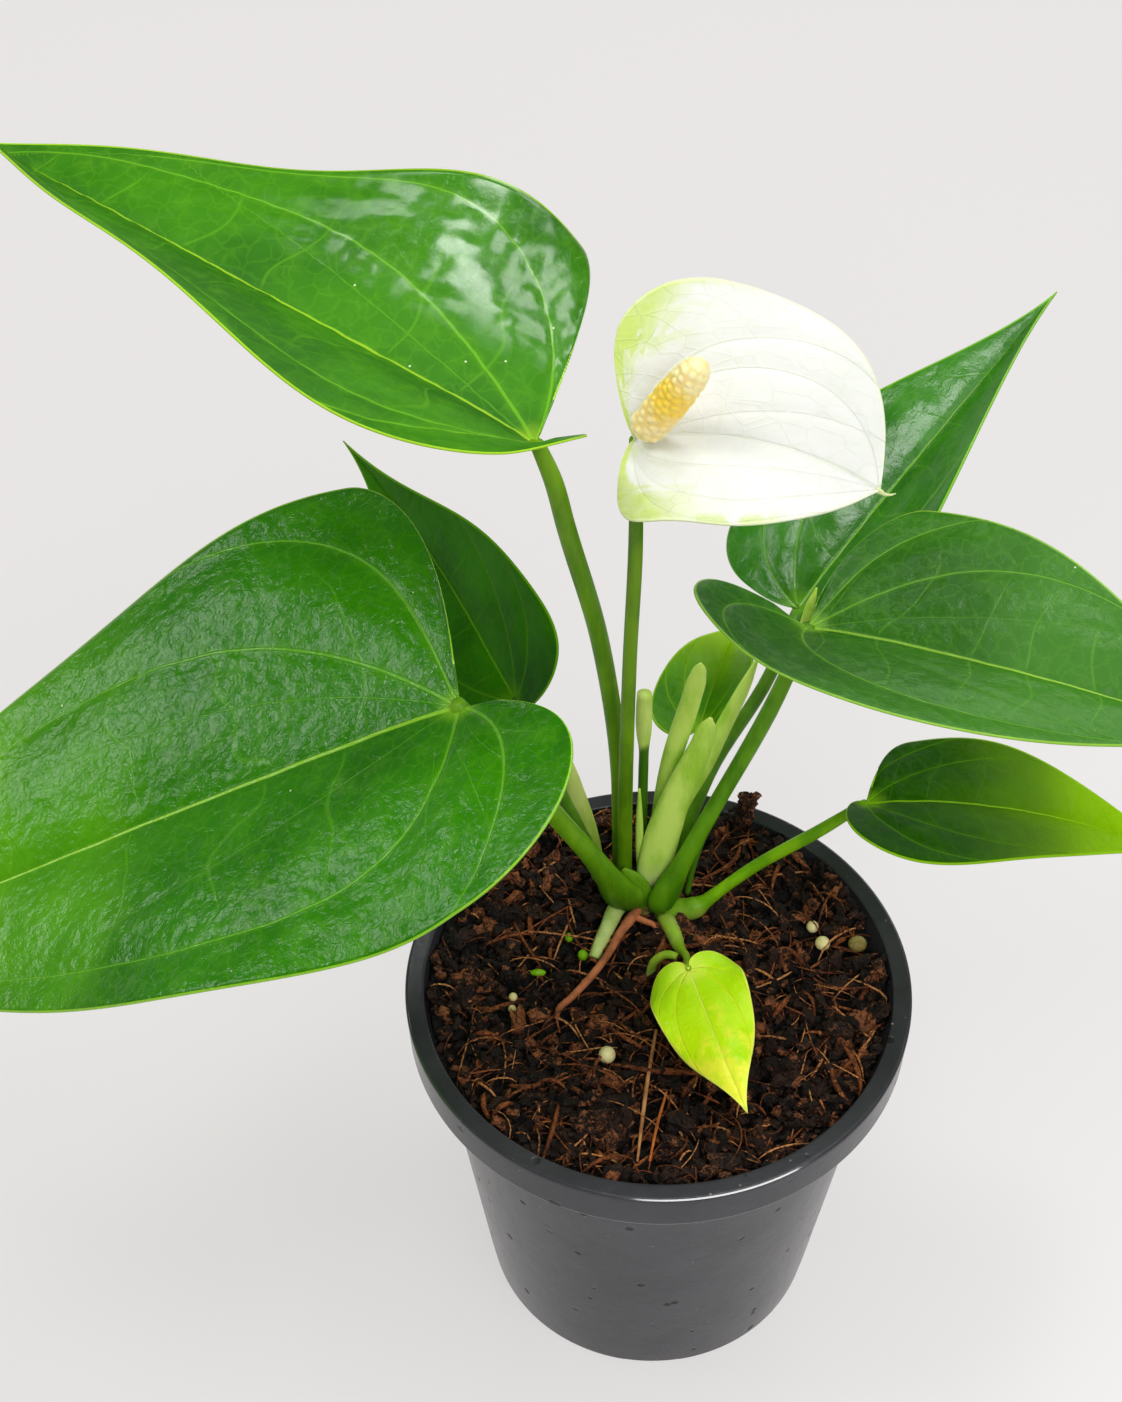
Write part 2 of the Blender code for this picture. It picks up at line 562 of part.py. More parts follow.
def make_soil():
    bm = bmesh.new()
    rings = []

    def ring(cx, cy, rx, ry, z):
        place = Matrix.Translation((mm(cx), mm(cy), mm(z))) @ Matrix.Diagonal((mm(rx), mm(ry), 1, 1))
        rings.append(bmesh.ops.create_circle(bm, segments=SOIL_SIDES, radius=1.0, matrix=place)["verts"])

    band = POT_HEIGHT - BAND_HEIGHT
    side = pot_wall(band) - WALL - SOIL_PLAY
    foot = BASE_RADIUS - WALL - SOIL_PLAY
    hole = np.array(CROWN_HALF) + GAP
    centre = np.array(CROWN_CENTRE)
    ring(*centre, *hole, CROWN_BOTTOM - GAP)
    for k in range(SOIL_RINGS):
        share = k / (SOIL_RINGS - 1)
        ring(*(centre * (1 - share)), *(hole * (1 - share) + SOIL_RADIUS * share), SOIL_TOP)
        for vert in rings[-1]:
            vert.co.z = mm(soil_height(vert.co.x * 1000, vert.co.y * 1000))
    ring(0, 0, side, side, band)
    ring(0, 0, foot, foot, FLOOR + GAP)
    for low, high in zip(rings, rings[1:]):
        for j in range(SOIL_SIDES):
            bm.faces.new((low[j - 1], low[j], high[j], high[j - 1]))
    bm.faces.new(rings[0])
    bm.faces.new(rings[-1])
    bmesh.ops.triangulate(bm, faces=bm.faces)
    return finish(bm, "soil", "soil")


# Height of the lowest point at which a round thing of these half sizes clears the soil
def rest_height(x, y, a, b, c):
    heights = []
    for dx in REST_STEPS:
        for dy in REST_STEPS:
            share = 1 - dx * dx - dy * dy
            if share > 0:
                above = Vector((mm(x + dx * a), mm(y + dy * b), mm(2 * POT_HEIGHT)))
                hit = soil_tree.ray_cast(above, Vector((0, 0, -1)))[0]
                heights.append(hit.z / mm(1) + c * math.sqrt(share))
    return max(heights) + GAP


# Crown: a short thick stem, ringed where old leaves sat
def make_crown():
    x, y = CROWN_CENTRE
    w, d = CROWN_HALF
    stations = []
    for level, share in CROWN_RINGS:
        stations.append((x, y, CROWN_BOTTOM + (CROWN_TOP - CROWN_BOTTOM) * level, w * share, d * share))
    return tube("crown", stations, "brown", sides=20, between=1)


def make_bead(name, spec):
    x, y, a, b, c = spec
    z = rest_height(x, y, a, b, c)
    bm = bmesh.new()
    place = Matrix.Translation((mm(x), mm(y), mm(z))) @ Matrix.Diagonal((mm(a), mm(b), mm(c), 1))
    bmesh.ops.create_uvsphere(bm, u_segments=BEAD_SIDES, v_segments=BEAD_RINGS, radius=1.0, matrix=place)
    return finish(bm, name, "cream")


# Flower spike: rings along the axis, each floret a raised bump
def make_spadix():
    base = Vector(SPADIX_BASE)
    axis = Vector(SPADIX_TIP) - base
    turn = axis.to_track_quat("Z", "Y").to_matrix().to_4x4()
    rings = 2 * FLORET_ROWS
    sides = 2 * FLORETS_ROUND
    bm = bmesh.new()
    loops = []
    for k in range(rings + 1):
        u = k / rings
        radius = SPADIX_RADIUS + (SPADIX_TIP_RADIUS - SPADIX_RADIUS) * u
        rounding = math.sqrt(max(1 - max(0, (u - TIP_START) / TIP_SHARE) ** 2, 0.05))
        radius *= rounding * min(1, BASE_NARROW + 3 * u)
        place = Matrix.Scale(0.001, 4) @ Matrix.Translation(base + u * axis) @ turn
        made = bmesh.ops.create_circle(bm, segments=sides, radius=radius, matrix=place)
        centre = place.translation
        for j, vert in enumerate(made["verts"]):
            bump = FLORET_HEIGHT if (j + (k // 2)) % 2 == 0 and k % 2 == 1 else 0
            vert.co += (vert.co - centre).normalized() * mm(bump)
        loops.append([e for e in bm.edges if e.verts[0] in made["verts"]])
    for low, high in zip(loops, loops[1:]):
        bmesh.ops.bridge_loops(bm, edges=low + high)
    bmesh.ops.contextual_create(bm, geom=loops[0])
    bmesh.ops.contextual_create(bm, geom=loops[-1])
    return finish(bm, "spadix", "yellow")


make_pot()
soil = make_soil()
soil_tree = BVHTree.FromPolygons([v.co for v in soil.data.vertices], [p.vertices for p in soil.data.polygons])
make_crown()

for name, shape in LEAVES.items():
    small = name in SMALL_LEAVES
    blade(name, shape, LEAF_COLUMNS - 6 if small else LEAF_COLUMNS, LEAF_ROWS - 1 if small else LEAF_ROWS,
          "lime" if name == "leaf_young" else "green", QUILT)
blade("spathe", SPATHE, LEAF_COLUMNS, LEAF_ROWS, "white", 0.3)

for name, stations in STALKS.items():
    stalk(name, stations, LEAVES[BLADE_OF[name]], "stalk")
stalk("scape", SCAPE, SPATHE, "stalk")
stalk("petiole_young", YOUNG_STALK, LEAVES["leaf_young"], "sheath", between=2)
tube("runner", RUNNER, "sheath", sides=8, between=2)
tube("flower_stub", STUB, "sheath", between=2)
tube("leaf_bud", BUD, "sheath", sides=8, between=2)
sheaths = {}
for name, stations in SHEATHS.items():
    sheaths[name] = tube(name, stations, "brown" if name == "sheath_dry" else "sheath")
fuse(sheaths["sheath_broad"], [tube(name, stations, "sheath") for name, stations in SHEATH_WINGS.items()])

for name, stations in ROOTS.items():
    laid = []
    for x, y, lift, a, b in stations:
        laid.append((x, y, rest_height(x, y, ROOT_REACH, ROOT_REACH, b) + lift - b, a, b))
    tube(name, laid, "brown", sides=8)
for name, spec in BEADS.items():
    make_bead(name, spec)
make_spadix()
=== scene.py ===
# %% [markdown]
# # A potted anthurium, one piece at a time
# A young anthurium grows in a grey nursery pot: heart-shaped leaves on long stalks, one white flower head,
# and dark fibrous soil. This lesson dresses the fixed solids of that plant with fine surfaces.
# Each solid stays where it is and keeps its size; a finer piece is modelled over it and stands for it.

# %% Load the fixed plant
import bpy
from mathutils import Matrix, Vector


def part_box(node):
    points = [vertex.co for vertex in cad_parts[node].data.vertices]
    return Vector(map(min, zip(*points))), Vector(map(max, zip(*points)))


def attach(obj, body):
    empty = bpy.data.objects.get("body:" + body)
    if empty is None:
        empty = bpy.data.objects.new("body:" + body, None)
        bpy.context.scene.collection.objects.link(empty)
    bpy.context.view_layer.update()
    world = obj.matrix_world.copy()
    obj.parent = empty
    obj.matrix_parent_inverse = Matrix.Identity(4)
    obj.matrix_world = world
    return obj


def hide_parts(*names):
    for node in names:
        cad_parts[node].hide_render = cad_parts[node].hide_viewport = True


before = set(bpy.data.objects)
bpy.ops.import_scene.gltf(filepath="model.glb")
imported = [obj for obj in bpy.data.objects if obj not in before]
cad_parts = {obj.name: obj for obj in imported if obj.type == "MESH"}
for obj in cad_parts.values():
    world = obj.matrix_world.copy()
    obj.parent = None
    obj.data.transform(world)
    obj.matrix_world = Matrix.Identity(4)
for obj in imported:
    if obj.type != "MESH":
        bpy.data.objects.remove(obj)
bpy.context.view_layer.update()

# %% Bring in the tools
import math

import bmesh
import bpy
import numpy as np
from mathutils import Matrix, Vector, noise
from mathutils.bvhtree import BVHTree

# %% [markdown]
# ## Sizes and colours
# The plant is measured in millimetres and Blender works in metres, so one small helper turns one into the
# other. Colours are picked as everyday 0 to 255 values, and Blender mixes light in linear values, so a second
# helper converts them once, here, instead of guessing numbers by eye.

# %% Millimetres and colours
def mm(value):
    return value * 0.001


def rgb(red, green, blue):
    linear = [((c / 255 + 0.055) / 1.055) ** 2.4 if c > 10 else c / 255 / 12.92 for c in (red, green, blue)]
    return (*linear, 1.0)


print("1 inch is", mm(25.4), "m, and a leaf green is", [round(c, 3) for c in rgb(73, 149, 22)])

# %% [markdown]
# ## Shader maths in plain Python
# A finish such as a veined leaf needs dozens of Math nodes. Wiring them one by one hides the idea, so a Wire
# wraps one node output and lets Python's own signs add the nodes: `1 - mask * 0.5` is two nodes. A Paint is a
# material being made, and every other kind of node comes from its one method, node().

# %% One output of a node, as a number that Python can use
def maths(operation, swapped=False):
    def method(wire, *others):
        values = (*others, wire) if swapped else (wire, *others)
        return wire.paint.node("Math", {"operation": operation}, dict(enumerate(values)))

    return method


class Wire:
    def __init__(self, paint, socket):
        self.paint = paint
        self.socket = socket

    __add__ = __radd__ = maths("ADD")
    __sub__, __rsub__ = maths("SUBTRACT"), maths("SUBTRACT", swapped=True)
    __mul__ = __rmul__ = maths("MULTIPLY")
    __truediv__, __pow__, __abs__ = maths("DIVIDE"), maths("POWER"), maths("ABSOLUTE")
    fraction, least, most = maths("FRACT"), maths("MINIMUM"), maths("MAXIMUM")

    # 0 at low, 1 at high and smooth between them; low may be the larger one
    def ramp(self, low, high):
        settings = {"interpolation_type": "SMOOTHSTEP"}
        return self.paint.node("MapRange", settings, {"Value": self, "From Min": low, "From Max": high})


# %% A material being made
class Paint:
    def __init__(self, name):
        self.material = bpy.data.materials.new(name)
        self.material.use_nodes = True
        self.tree = self.material.node_tree
        self.shader = self.tree.nodes["Principled BSDF"]

    def join(self, value, socket):
        if isinstance(value, Wire):
            self.tree.links.new(value.socket, socket)
        else:
            socket.default_value = value

    def node(self, kind, settings=None, sockets=None, out=0):
        made = self.tree.nodes.new("ShaderNode" + kind)
        for key, value in (settings or {}).items():
            setattr(made, key, value)
        for key, value in (sockets or {}).items():
            self.join(value, made.inputs[key])
        return Wire(self, made.outputs[out])

    def read(self, name):
        return self.node("Attribute", {"attribute_name": name}, out="Vector")

    def stretched(self, vector, stretch):
        return self.node("VectorMath", {"operation": "MULTIPLY"}, {0: vector, 1: stretch})

    # The place on the object, in millimetres
    def here(self, stretch=(1, 1, 1)):
        return self.stretched(self.node("TexCoord", out="Object"), [1000 * s for s in stretch])

    def parts(self, vector):
        made = self.node("SeparateXYZ", None, {0: vector})
        outputs = made.socket.node.outputs
        return [Wire(self, outputs[k]) for k in range(3)]

    def cloud(self, where, size, detail=3.0, rough=0.5, swirl=0.0):
        return self.node("TexNoise", None, {"Vector": where, "Scale": 1 / size, "Detail": detail,
                                            "Roughness": rough, "Distortion": swirl})

    def cells(self, where, size, feature="DISTANCE_TO_EDGE", out="Distance"):
        return self.node("TexVoronoi", {"feature": feature}, {"Vector": where, "Scale": 1 / size}, out)

    def mix(self, share, first, second):
        return self.node("Mix", {"data_type": "RGBA"}, {0: share, 6: first, 7: second}, 2)

    # Colours laid over the first one, each with the mask that lets it show
    def layers(self, colour, *over):
        for share, upper in over:
            colour = self.mix(share, colour, upper)
        return colour

    # A height in millimetres, felt by light but not cut into the mesh
    def bumps(self, height):
        return self.node("Bump", None, {"Distance": mm(1), "Height": height})

    def done(self, colour, roughness, normal=None, **plain):
        self.join(colour, self.shader.inputs["Base Color"])
        self.join(roughness, self.shader.inputs["Roughness"])
        if normal is not None:
            self.join(normal, self.shader.inputs["Normal"])
        for key, value in plain.items():
            self.shader.inputs[key.replace("_", " ").title().replace("Ior", "IOR")].default_value = value
        return self.material


# %% [markdown]
# ## Handing a piece to the plant
# Every finished piece rides on the plant's one body, hides the solid it stands for, and takes its finish.
# Doing that in one helper keeps the modelling cells about shape alone.

# %% Turn a bmesh into a finished piece
pieces = {}


def as_mesh(bm, name):
    mesh = bpy.data.meshes.new(name)
    bm.to_mesh(mesh)
    bm.free()
    return mesh


def add_object(name, data):
    made = bpy.data.objects.new(name, data)
    bpy.context.scene.collection.objects.link(made)
    return made


def hand_over(bm, name, finish, slot, stands_for=(), smooth=True, outward=True):
    if outward:
        bmesh.ops.recalc_face_normals(bm, faces=bm.faces)
    for face in bm.faces:
        face.smooth = smooth
    piece = add_object(name, as_mesh(bm, name))
    for material in finish if isinstance(finish, list) else [finish]:
        piece.data.materials.append(material)
    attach(piece, "root")
    if stands_for:
        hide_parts(*stands_for)
    pieces[name] = piece
    return piece


# %% [markdown]
# ## The camera
# The photograph looks down at the plant from the front, at about 48 degrees, through a long lens from under a
# metre away. The lens and the place were worked out from the pot's rim, which is a known circle.

# %% Camera
CAMERA_PLACE = (-0.025, -0.458, 0.738)
LOOKS_DOWN = 48.3
LENS = 77.03
camera = add_object("camera", bpy.data.cameras.new("camera"))
camera.data.lens = LENS
camera.data.sensor_width = 36.0
camera.location = CAMERA_PLACE
camera.rotation_euler = (math.radians(90 - LOOKS_DOWN), 0, 0)
bpy.context.scene.camera = camera
print("camera stands", round(camera.location.length, 3), "m from the foot of the pot")

# %% [markdown]
# ## Light and floor
# Where a leaf shines tells where the lamps stood: two windows at the left, one above the other, three panes
# high at the back and a dim wall behind. The two lamps at the front are mirrored by no leaf, so they bring out
# the colours without a veil; only the rounded front of the pot's rim catches them, as a thin bright line. The
# paper glows a little of its own, more towards the front right, which keeps its shadows faint, and no film
# curve dulls the picture.

# %% Studio
# Name, place, height that it is aimed at, size and power
LAMPS = [
    ("window_low", (-1.28, 0.36, 0.92), 0.18, (0.8, 0.36), 4.2),
    ("window_high", (-0.72, 0.02, 1.62), 0.20, (0.5, 0.45), 8.5),
    ("roof_back", (0.27, 0.42, 1.74), 0.20, (0.45, 0.4), 7),
    ("roof_right", (0.90, 0.60, 1.40), 0.20, (0.45, 0.4), 3.6),
    ("roof_rear", (-0.29, 0.92, 1.45), 0.20, (0.3, 0.3), 1.8),
    ("wall_back", (0.60, 1.25, 0.84), 0.20, (0.9, 0.4), 3.6),
    ("front", (0.42, -0.88, 1.12), 0.15, (1.2, 0.33), 9.2),
    ("roof_front", (0.15, -0.45, 1.80), 0.15, (1.3, 0.5), 4.4),
]
WORLD_COLOUR = (1.0, 0.985, 0.975, 1)
WORLD_STRENGTH = 0.13

for name, place, aim_height, size, power in LAMPS:
    lamp = add_object(name, bpy.data.lights.new(name, "AREA"))
    lamp.data.shape = "RECTANGLE"
    lamp.data.size, lamp.data.size_y = size
    lamp.data.energy = power
    lamp.location = place
    lamp.rotation_euler = (Vector((0, 0.02, aim_height)) - Vector(place)).to_track_quat("-Z", "Y").to_euler()
world = bpy.data.worlds.new("studio")
world.use_nodes = True
sky = world.node_tree.nodes["Background"].inputs
sky["Color"].default_value = WORLD_COLOUR
sky["Strength"].default_value = WORLD_STRENGTH
bpy.context.scene.world = world
bpy.context.scene.view_settings.view_transform = "Standard"

# %% Floor
PAPER_GLOW = 0.68
PAPER_SIZE = 6.0
paper = Paint("paper")
x, y, _ = paper.parts(paper.node("TexCoord", out="Object"))
glow = paper.mix((x * 0.7 - y * 0.7).ramp(-0.12, 0.22), rgb(234, 231, 230), rgb(255, 252, 252))
paper.join(glow, paper.shader.inputs["Emission Color"])
paper.done(rgb(126, 125, 124), 0.8, Specular_Ior_Level=0.2, Emission_Strength=PAPER_GLOW)
bm = bmesh.new()
bmesh.ops.create_grid(bm, x_segments=4, y_segments=4, size=PAPER_SIZE)
floor = add_object("floor", as_mesh(bm, "floor"))
floor.data.materials.append(paper.material)

# %% [markdown]
# ## What a leaf is
# A leaf is a flat heart first, then folded a little along its midrib, curled at both halves and bent along its
# length. Modelling it flat and bending it afterwards keeps the veins where they belong, because they are drawn
# on the flat heart. Each leaf below is one row: the place of its stalk, length, width, and the pose and bend
# of its midrib. fold is how far each half is raised, and curl how far its margin turns down again.

# %% The sizes of a leaf
BLADE_THICK = 0.5
LOBE_SHARE = 0.16       # share of the outline that is the inside of the lobe
WIDE_SHARE = 0.42       # share of the outline that ends at the widest place
ROUND_BASE = 0.03       # a lobe shorter than this is a plain round corner
FIRST_RAY = 0.04        # where the first ray meets the outline, with a lobe and without one
STRAIGHT_RAY = 0.06
VEIN_LEAN = 0.45        # how far the rays lean towards the tip
WAVES = 1.3             # waves along a margin
MIDRIB_STEPS = 60
PLAIN_LEAF = dict(droop=0, sweep=0, roll=0, twist=0, fold=(15, 15), curl=(-15, -15), lobes=(0.15, 0.15),
                  lobe_rise=10, skew=0, wave=0, phase=(0, 0), wide=0.12, taper=0.65, tip=0.06, shoulder=0.32,
                  notch=0.48, square=0)


def leaf(at, length, width, heading, rise, **more):
    return {**PLAIN_LEAF, "at": at, "length": length, "width": width, "heading": heading, "rise": rise, **more}


# %% Eight leaves and the spathe
LEAVES = {
    "leaf_upper_left": leaf(
        (-30.4, 38.9, 268.9), 164, 104, 156.5, 17, droop=-24, sweep=-21, roll=15, twist=-5,
        fold=(28, 27), curl=(-12, -16), lobes=(0.09, -0.024), lobe_rise=41, skew=-0.08, wave=7.9,
        phase=(166, -43), wide=0.106, taper=0.83, tip=0.103, notch=0.50
    ),
    "leaf_front_left": leaf(
        (-49.1, 2.4, 220.2), 201, 138, 180.5, -28.8, droop=3, sweep=7, roll=-1, twist=-16,
        fold=(12, 17), curl=(-14, -26), lobes=(0.155, 0.019), lobe_rise=-4, skew=-0.063, wave=6.5,
        phase=(-91, -13), wide=0.12, taper=0.83, tip=0.104, shoulder=0.375, notch=0.43
    ),
    "leaf_back_left": leaf(
        (-36.9, 45.6, 172.6), 97, 58, 115, 15, droop=-17, sweep=8, roll=-56, twist=-4,
        fold=(11, 19), curl=(-15, -12), lobes=(0.17, 0.077), lobe_rise=15, wave=2.0,
        phase=(0, -16), wide=0.10, taper=0.62, tip=0.058, shoulder=0.31
    ),
    "leaf_back_right": leaf(
        (36.2, 77.3, 173.7), 105.5, 65.5, 40.5, 36, droop=-8, sweep=2, roll=-2, twist=-6,
        fold=(11, 34), curl=(-18, -7), lobes=(0.035, 0.15), skew=0.014, wave=-1.2, phase=(7, 5),
        wide=0.147, taper=0.73, tip=0.08, shoulder=0.33, notch=0.5
    ),
    "leaf_right": leaf(
        (35.4, 43.0, 203.6), 118.5, 81.5, -22.5, 8.5, droop=-22, sweep=8, roll=-10, twist=26,
        fold=(23, 21), curl=(-16, -3), lobes=(0.01, 0.209), lobe_rise=31, skew=0.02, wave=-0.7,
        phase=(22, 30), wide=0.157, taper=0.72, tip=0.08, shoulder=0.375, notch=0.57
    ),
    "leaf_lower_right": leaf(
        (52.9, 31.8, 149.8), 87, 52.5, -2, 6, droop=-39, roll=-20, twist=26, fold=(13, 11),
        curl=(-14, -16), lobes=(-0.038, 0.063), lobe_rise=18, skew=-0.016, wave=-1.8,
        phase=(45, 18), wide=0.15, taper=0.73, tip=0.082, shoulder=0.31, notch=0.51
    ),
    "leaf_young": leaf(
        (7.3, -2.2, 124.7), 45, 26, -76, 6, droop=-18, sweep=7, roll=13, fold=(-2, -6),
        curl=(-20, -22), lobes=(0.10, 0.10), lobe_rise=-3, wave=4.0, phase=(-40, -39), wide=0.18,
        taper=0.76, tip=0.097, shoulder=0.37, notch=0.52
    ),
    "leaf_behind": leaf(
        (11.8, 70.4, 133.7), 51, 30, 74, 4, droop=-31, roll=-6, twist=9, fold=(28, 39),
        curl=(-7, 5), lobes=(0.145, 0.14), lobe_rise=17, wave=-1.0, phase=(-21, -9), wide=0.154,
        taper=0.71, tip=0.12, shoulder=0.345, notch=0.49
    ),
}
SPATHE = leaf(
    (-8.3, 38.9, 269.7), 58.2, 65.4, -4.2, 16.1, droop=-41.5, sweep=-16.7, roll=18.6, twist=-7.6,
    fold=(26.1, 19.4), curl=(-10.6, -0.2), lobes=(0.04, 0.0491), lobe_rise=9.1, skew=0.089,
    wave=1.8, phase=(32.2, 28.5), wide=0.299, taper=0.917, tip=0.139, shoulder=0.505, notch=0.422,
    square=0.9
)
print("leaves:", len(LEAVES), "longest:", max(s["length"] for s in LEAVES.values()), "mm")

# %% [markdown]
# ## The flat heart
# Half of the heart's outline is three Bezier curves: into the lobe, round it to the widest place, and on to
# the tip. A point in the leaf is then given by two numbers: t, how far along the outline its ray ends, and v,
# how far out along that ray it lies, from 0 on the midrib to 1 on the margin.

# %% Outline and rays
def bezier(p0, p1, p2, p3, t):
    t = t[:, None]
    s = 1 - t
    ends = s**3 * np.array(p0) + t**3 * np.array(p3)
    return ends + 3 * s * s * t * np.array(p1) + 3 * s * t * t * np.array(p2)


def half_outline(shape, left, t):
    length = shape["length"]
    lobe = shape["lobes"][0 if left else 1] * length
    half = shape["width"] / 2 * (1 + shape["skew"] if left else 1 - shape["skew"])
    widest = shape["wide"] * length
    front = bezier((widest, half), (widest + shape["shoulder"] * length, half),
                   (shape["taper"] * length, shape["tip"] * 2 * half), (length, 0),
                   np.clip((t - WIDE_SHARE) / (1 - WIDE_SHARE), 0, 1))
    if lobe <= ROUND_BASE * length:
        side = bezier((0, 0), (-lobe, 0.5 * half), (0.45 * widest, half), (widest, half),
                      np.clip(t / WIDE_SHARE, 0, 1))
        return np.where((t < WIDE_SHARE)[:, None], side, front)
    back = bezier((0, 0), (-shape["notch"] * lobe, 0.05 * half), (-lobe, 0.18 * half), (-lobe, 0.46 * half),
                  np.clip(t / LOBE_SHARE, 0, 1))
    square = 0 if left else shape["square"]
    side = bezier((-lobe, 0.46 * half), (-lobe, (0.80 + 0.18 * square) * half),
                  (widest - (0.55 + 0.33 * square) * (widest + lobe), half),
                  (widest, half), np.clip((t - LOBE_SHARE) / (WIDE_SHARE - LOBE_SHARE), 0, 1))
    return np.where((t < LOBE_SHARE)[:, None], back, np.where((t < WIDE_SHARE)[:, None], side, front))


# The flat place of each point, and its distance to the margin along its ray
def flat_heart(shape, t, v):
    flat = np.zeros((len(t), 2))
    margin = np.zeros(len(t))
    for left in (True, False):
        use = (v >= 0) == left
        first = FIRST_RAY if shape["lobes"][0 if left else 1] >= 0 else STRAIGHT_RAY
        edge = half_outline(shape, left, first + (1 - first) * t[use])
        root = np.clip(edge[:, 0] - VEIN_LEAN * edge[:, 1], 0, shape["length"])
        share = np.abs(v[use])
        flat[use, 0] = root + (edge[:, 0] - root) * share
        flat[use, 1] = edge[:, 1] * share * (1 if left else -1)
        margin[use] = (1 - share) * np.hypot(edge[:, 0] - root, edge[:, 1])
    return flat, margin


# %% [markdown]
# ## Bending the heart
# The midrib is followed in small steps from the stalk, each step turning a little more. That gives a place and
# three directions at each distance along it: along, across and up. The flat heart is then laid out from there.

# %% Midrib and bend
def midrib(shape, x):
    length = shape["length"]

    def direction(u):
        rise = np.radians(shape["rise"] + shape["droop"] * u)
        heading = np.radians(shape["heading"] + shape["sweep"] * u)
        along = np.stack([np.cos(rise) * np.cos(heading), np.cos(rise) * np.sin(heading), np.sin(rise)], -1)
        return along, heading

    middles, _ = direction((np.arange(MIDRIB_STEPS) + 0.5) / MIDRIB_STEPS)
    line = np.vstack([np.zeros(3), np.cumsum(middles * length / MIDRIB_STEPS, 0)]) + np.array(shape["at"])
    u = np.clip(x / length, 0, 1)
    marks = np.linspace(0, 1, MIDRIB_STEPS + 1)
    at = np.stack([np.interp(u, marks, line[:, k]) for k in range(3)], -1)
    along, heading = direction(u)
    level = np.stack([-np.sin(heading), np.cos(heading), 0 * heading], -1)
    up = np.cross(along, level)
    roll = np.radians(shape["roll"] + shape["twist"] * u)[:, None]
    return at, along, np.cos(roll) * level + np.sin(roll) * up, np.cos(roll) * up - np.sin(roll) * level


CREASE = 0.4
CREASE_SPREAD = 0.08


def bend(shape, x, y, relief):
    at, along, across, up = midrib(shape, x)
    half = shape["width"] / 2
    left = y >= 0
    fold = np.radians(np.where(left, *shape["fold"]))
    turn = np.radians(np.where(left, *shape["curl"])) / half
    phase = np.radians(np.where(left, *shape["phase"]))
    out = np.abs(y)
    side = np.sign(y) * (np.sin(fold + turn * out) - np.sin(fold)) / turn
    lift = (np.cos(fold) - np.cos(fold + turn * out)) / turn
    lift += shape["wave"] * (out / half) ** 2 * np.sin(2 * np.pi * WAVES * x / shape["length"] + phase)
    # The lobes rise behind the stalk; the crease there is sharp at the stalk and soft at the margin
    ease = CREASE + CREASE_SPREAD * out
    behind = ease * np.logaddexp(0, -x / ease)
    lobe = math.radians(shape["lobe_rise"])
    back = np.minimum(x, 0) + behind * (1 - math.cos(lobe))
    rise = lift + behind * math.sin(lobe) + relief
    return (at + along * back[:, None] + across * side[:, None] + up * rise[:, None]) * 0.001


# %% [markdown]
# ## Veins
# Three veins arch through each half of an anthurium leaf: one to the tip, one out to the margin and one into
# the lobe. A vein is one Bezier curve on the flat heart, in shares of the leaf's length and half width. Each
# point of the mesh stores its distance to each vein, positive on one side and negative on the other, so the
# shader can draw a line much finer than the mesh. Far from a vein the number stops at FAR.

# %% Curves of the veins and the distance to them
FAR = 5.0
VEIN_STEPS = 60
VEIN_TAPER = 0.75
COMMON_VEINS = [
    [(0.14, 0.60), (0.52, 1.05), (0.97, 0.0)],
    [(0.02, 0.85), (0.30, 1.22), (0.66, 0.66)],
    [(-0.10, 0.22), (-0.14, 0.80), (0.03, 1.0)],
]
# Left half, then right half, where a leaf has its own
VEINS = {
    "leaf_upper_left": (
        [[(0.02, 0.62), (0.10, 1.10), (0.97, 0.0)], COMMON_VEINS[1], COMMON_VEINS[2]],
        [[(0.18, 0.38), (0.50, 0.80), (0.96, 0.0)], [(0.04, 0.85), (0.24, 1.28), (0.76, 0.34)],
         [(0.22, 0.16), (0.48, 0.32), (0.70, 0.42)]],
    ),
    "leaf_front_left": (
        [[(0.0, 0.58), (0.12, 1.18), (0.97, 0.0)], [(-0.10, 0.20), (-0.09, 0.66), (0.04, 1.0)],
         [(0.13, 0.22), (0.34, 0.42), (0.60, 0.44)]],
        [[(0.16, 0.46), (0.42, 1.02), (0.97, 0.0)], [(0.05, 0.55), (0.10, 1.25), (0.58, 0.82)],
         [(0.16, 0.24), (0.36, 0.42), (0.72, 0.30)]],
    ),
    "leaf_right": (
        [[(0.20, 0.55), (0.40, 1.12), (0.97, 0.0)], [(0.06, 0.50), (0.12, 1.05), (0.40, 1.0)],
         [(0.20, 0.20), (0.42, 0.36), (0.66, 0.40)]],
        [[(0.0, 0.55), (0.20, 1.20), (0.97, 0.0)], [(-0.18, 0.20), (-0.20, 0.80), (0.06, 1.0)],
         [(0.16, 0.22), (0.36, 0.40), (0.60, 0.40)]],
    ),
    "spathe": (
        [[(0.20, 1.00), (0.95, 1.05), (0.99, 0.0)], [(0.20, 0.55), (0.70, 0.85), (0.99, 0.0)],
         [(0.25, 0.10), (0.55, 0.30), (0.84, 0.30)]],
        [[(0.06, 0.50), (0.50, 0.36), (0.99, 0.0)], [(0.02, 0.75), (0.50, 1.00), (0.99, 0.0)],
         [(0.00, 0.95), (0.35, 1.15), (0.80, 0.55)]],
    ),
}


